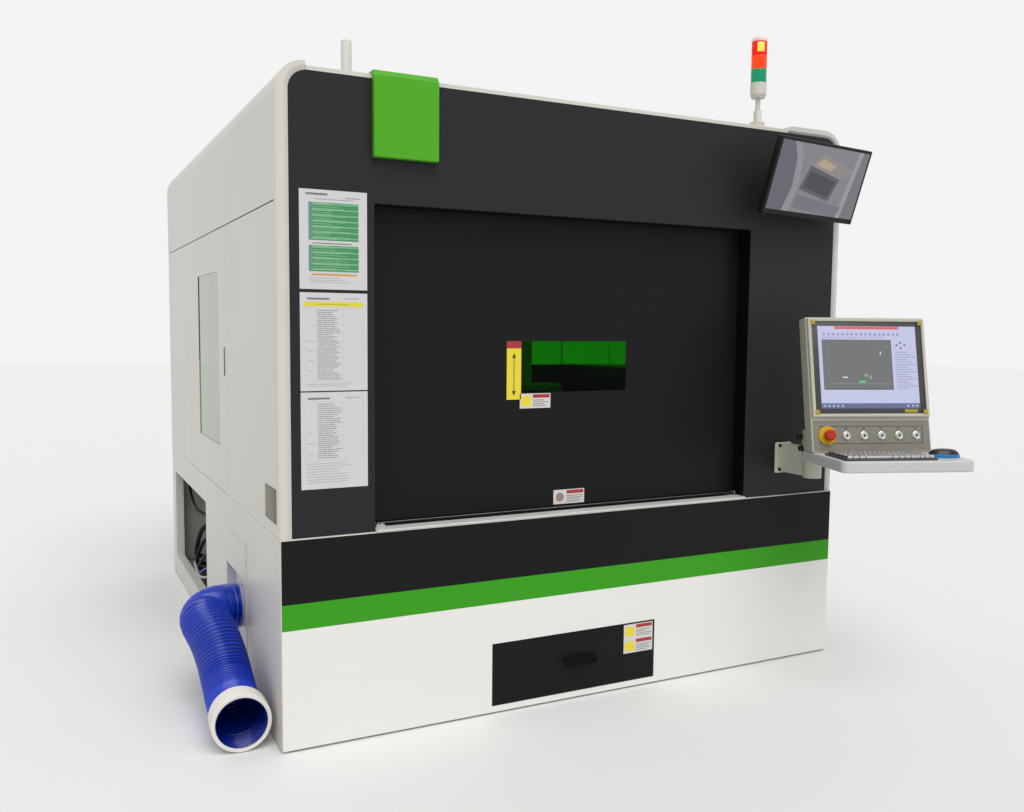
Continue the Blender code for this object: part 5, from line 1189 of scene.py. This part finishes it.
def makeGantryDetail(drops, inset, proud, half, links, start, pitch, link):
    low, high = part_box("gantry_beam")
    makeBlocks("gantryRails", [((low.x + inset, low.y - proud, high.z - drop - half),
                                (high.x - inset, low.y - 0.0004, high.z - drop + half), 0.0015)
                               for drop in drops], "steel", "gantry", "bare_steel")
    spots = [low.x + start + number * pitch for number in range(links)]
    makeBlocks("energyChain", [((x, low.y + 0.03, high.z + 0.0005), (x + link, low.y + 0.085, high.z + 0.026),
                                0.003, 1) for x in spots], "plastic", "gantry", "head_dark")


makeGantryDetail(**gantryDetail)
headLow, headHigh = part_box("cutting_head")
headPlace = Matrix.Translation(((headLow.x + headHigh.x) / 2, (headLow.y + headHigh.y) / 2, headLow.z))
makeTurned("nozzleTip", nozzle, 40, "brass", "head", "head_dark", headPlace)
makeTurned("headCollar", headCollar, 48, "steel", "head", "bare_steel", headPlace)


# the walls of the cutting room glow in panels as painted light, the left part of the rear wall only dimly as
# painted shade; below them a dark lower lining
roomWalls = {"level": 1.098, "top": 1.960, "rear": 0.7968, "right": 1.0892, "left": 0.560, "shade": 0.811,
             "lineX": 1.010, "lineY": 0.405, "front": -0.300, "floor": 0.900, "slope": 0.033, "sheet": 0.004,
             "gap": 0.0004, "glow": (0.66, 0.68, 0.66, 1.0), "shadedWallGlow": (0.10, 0.11, 0.10, 1.0)}


def makeRoomWalls(level, top, rear, right, left, shade, lineX, lineY, front, floor, slope, sheet, gap, glow,
                  shadedWallGlow):
    nearY, farY, nearX, farX = rear - sheet, rear - gap, right - sheet, right - gap
    form = bmesh.new()
    ink = form.loops.layers.float_color.new("ink")
    addBlock(form, (left, nearY, floor), (shade, farY, top))
    shadedWallFaces = len(form.faces)
    addBlock(form, (shade, nearY, level), (lineX - 0.006, farY, top))
    addBlock(form, (lineX + 0.006, nearY, level), (nearX, farY, top))
    addBlock(form, (nearX, front, level), (farX, lineY - 0.009, top))
    addBlock(form, (nearX, lineY + 0.009, level), (farX, farY, top))
    for corner in form.verts:
        if corner.co.x > nearX - 0.0002 and abs(corner.co.z - level) < 0.0001:
            corner.co.z += (rear - corner.co.y) * slope
    # faces of the first block, the left part of the rear wall, glow dimly as painted shade; the rest glow
    # brightly as painted light
    for number, face in enumerate(form.faces):
        for loop in face.loops:
            loop[ink] = shadedWallGlow if number < shadedWallFaces else glow
    makePiece("roomWallGlow", form, "roomLight", "enclosure", "shell_white", smooth=0)
    makeBlocks("roomLining", [((shade + 0.002, nearY, floor), (right - 0.008, farY, level - 0.002), 0.001),
                              ((nearX, -1.000, 0.700), (farX, rear - 0.008, level - 0.002), 0.001)],
               "black", "enclosure", "frame_grey")


makeRoomWalls(**roomWalls)
print("cutting room made")


# floor, backdrop, and one wide soft lamp, far off and high in front, so that its light is even over the floor
stageStyle = {"floor": tint(226, 226, 224), "half": 30, "sunk": 0.0005, "backdrop": 0.90, "sky": 0.62}
lamp = {"towards": (-0.06, -0.55, 0.83), "strength": 1.9, "spread": 50}


def makeStage(floor, half, sunk, backdrop, sky):
    form = bmesh.new()
    bmesh.ops.create_grid(form, x_segments=1, y_segments=1, size=half)
    mesh = bpy.data.meshes.new("floor")
    form.to_mesh(mesh)
    form.free()
    paint = {"Base Color": floor, "Roughness": 0.6, "Specular IOR Level": 0.2}
    mesh.materials.append(newFinish("floorPaint", paint)[0])
    ground = bpy.data.objects.new("floor", mesh)
    ground.location.z = -sunk
    scene.collection.objects.link(ground)
    scene.world = bpy.data.worlds.new("studio")
    scene.world.use_nodes = True
    tree = scene.world.node_tree
    # the camera sees the backdrop, also through glass and mirrored, and the sky lights everything else
    rays = addNode(tree, "LightPath").outputs
    seen = maths(tree, "ADD", rays["Is Camera Ray"], rays["Is Transmission Ray"], clamp=True)
    shown = maths(tree, "ADD", seen, rays["Is Glossy Ray"], clamp=True)
    level = mixColour(tree, shown, (sky, sky, sky * 1.02, 1), (backdrop, backdrop, backdrop, 1))
    fill(tree, tree.nodes["Background"], {"Color": level, "Strength": 1.0})


def makeLamp(towards, strength, spread):
    data = bpy.data.lights.new("softLamp", "SUN")
    data.energy = strength
    data.angle = math.radians(spread)
    light = bpy.data.objects.new("softLamp", data)
    scene.collection.objects.link(light)
    light.rotation_euler = Vector(towards).to_track_quat("Z", "Y").to_euler()


makeStage(**stageStyle)
makeLamp(**lamp)
print("stage lit")
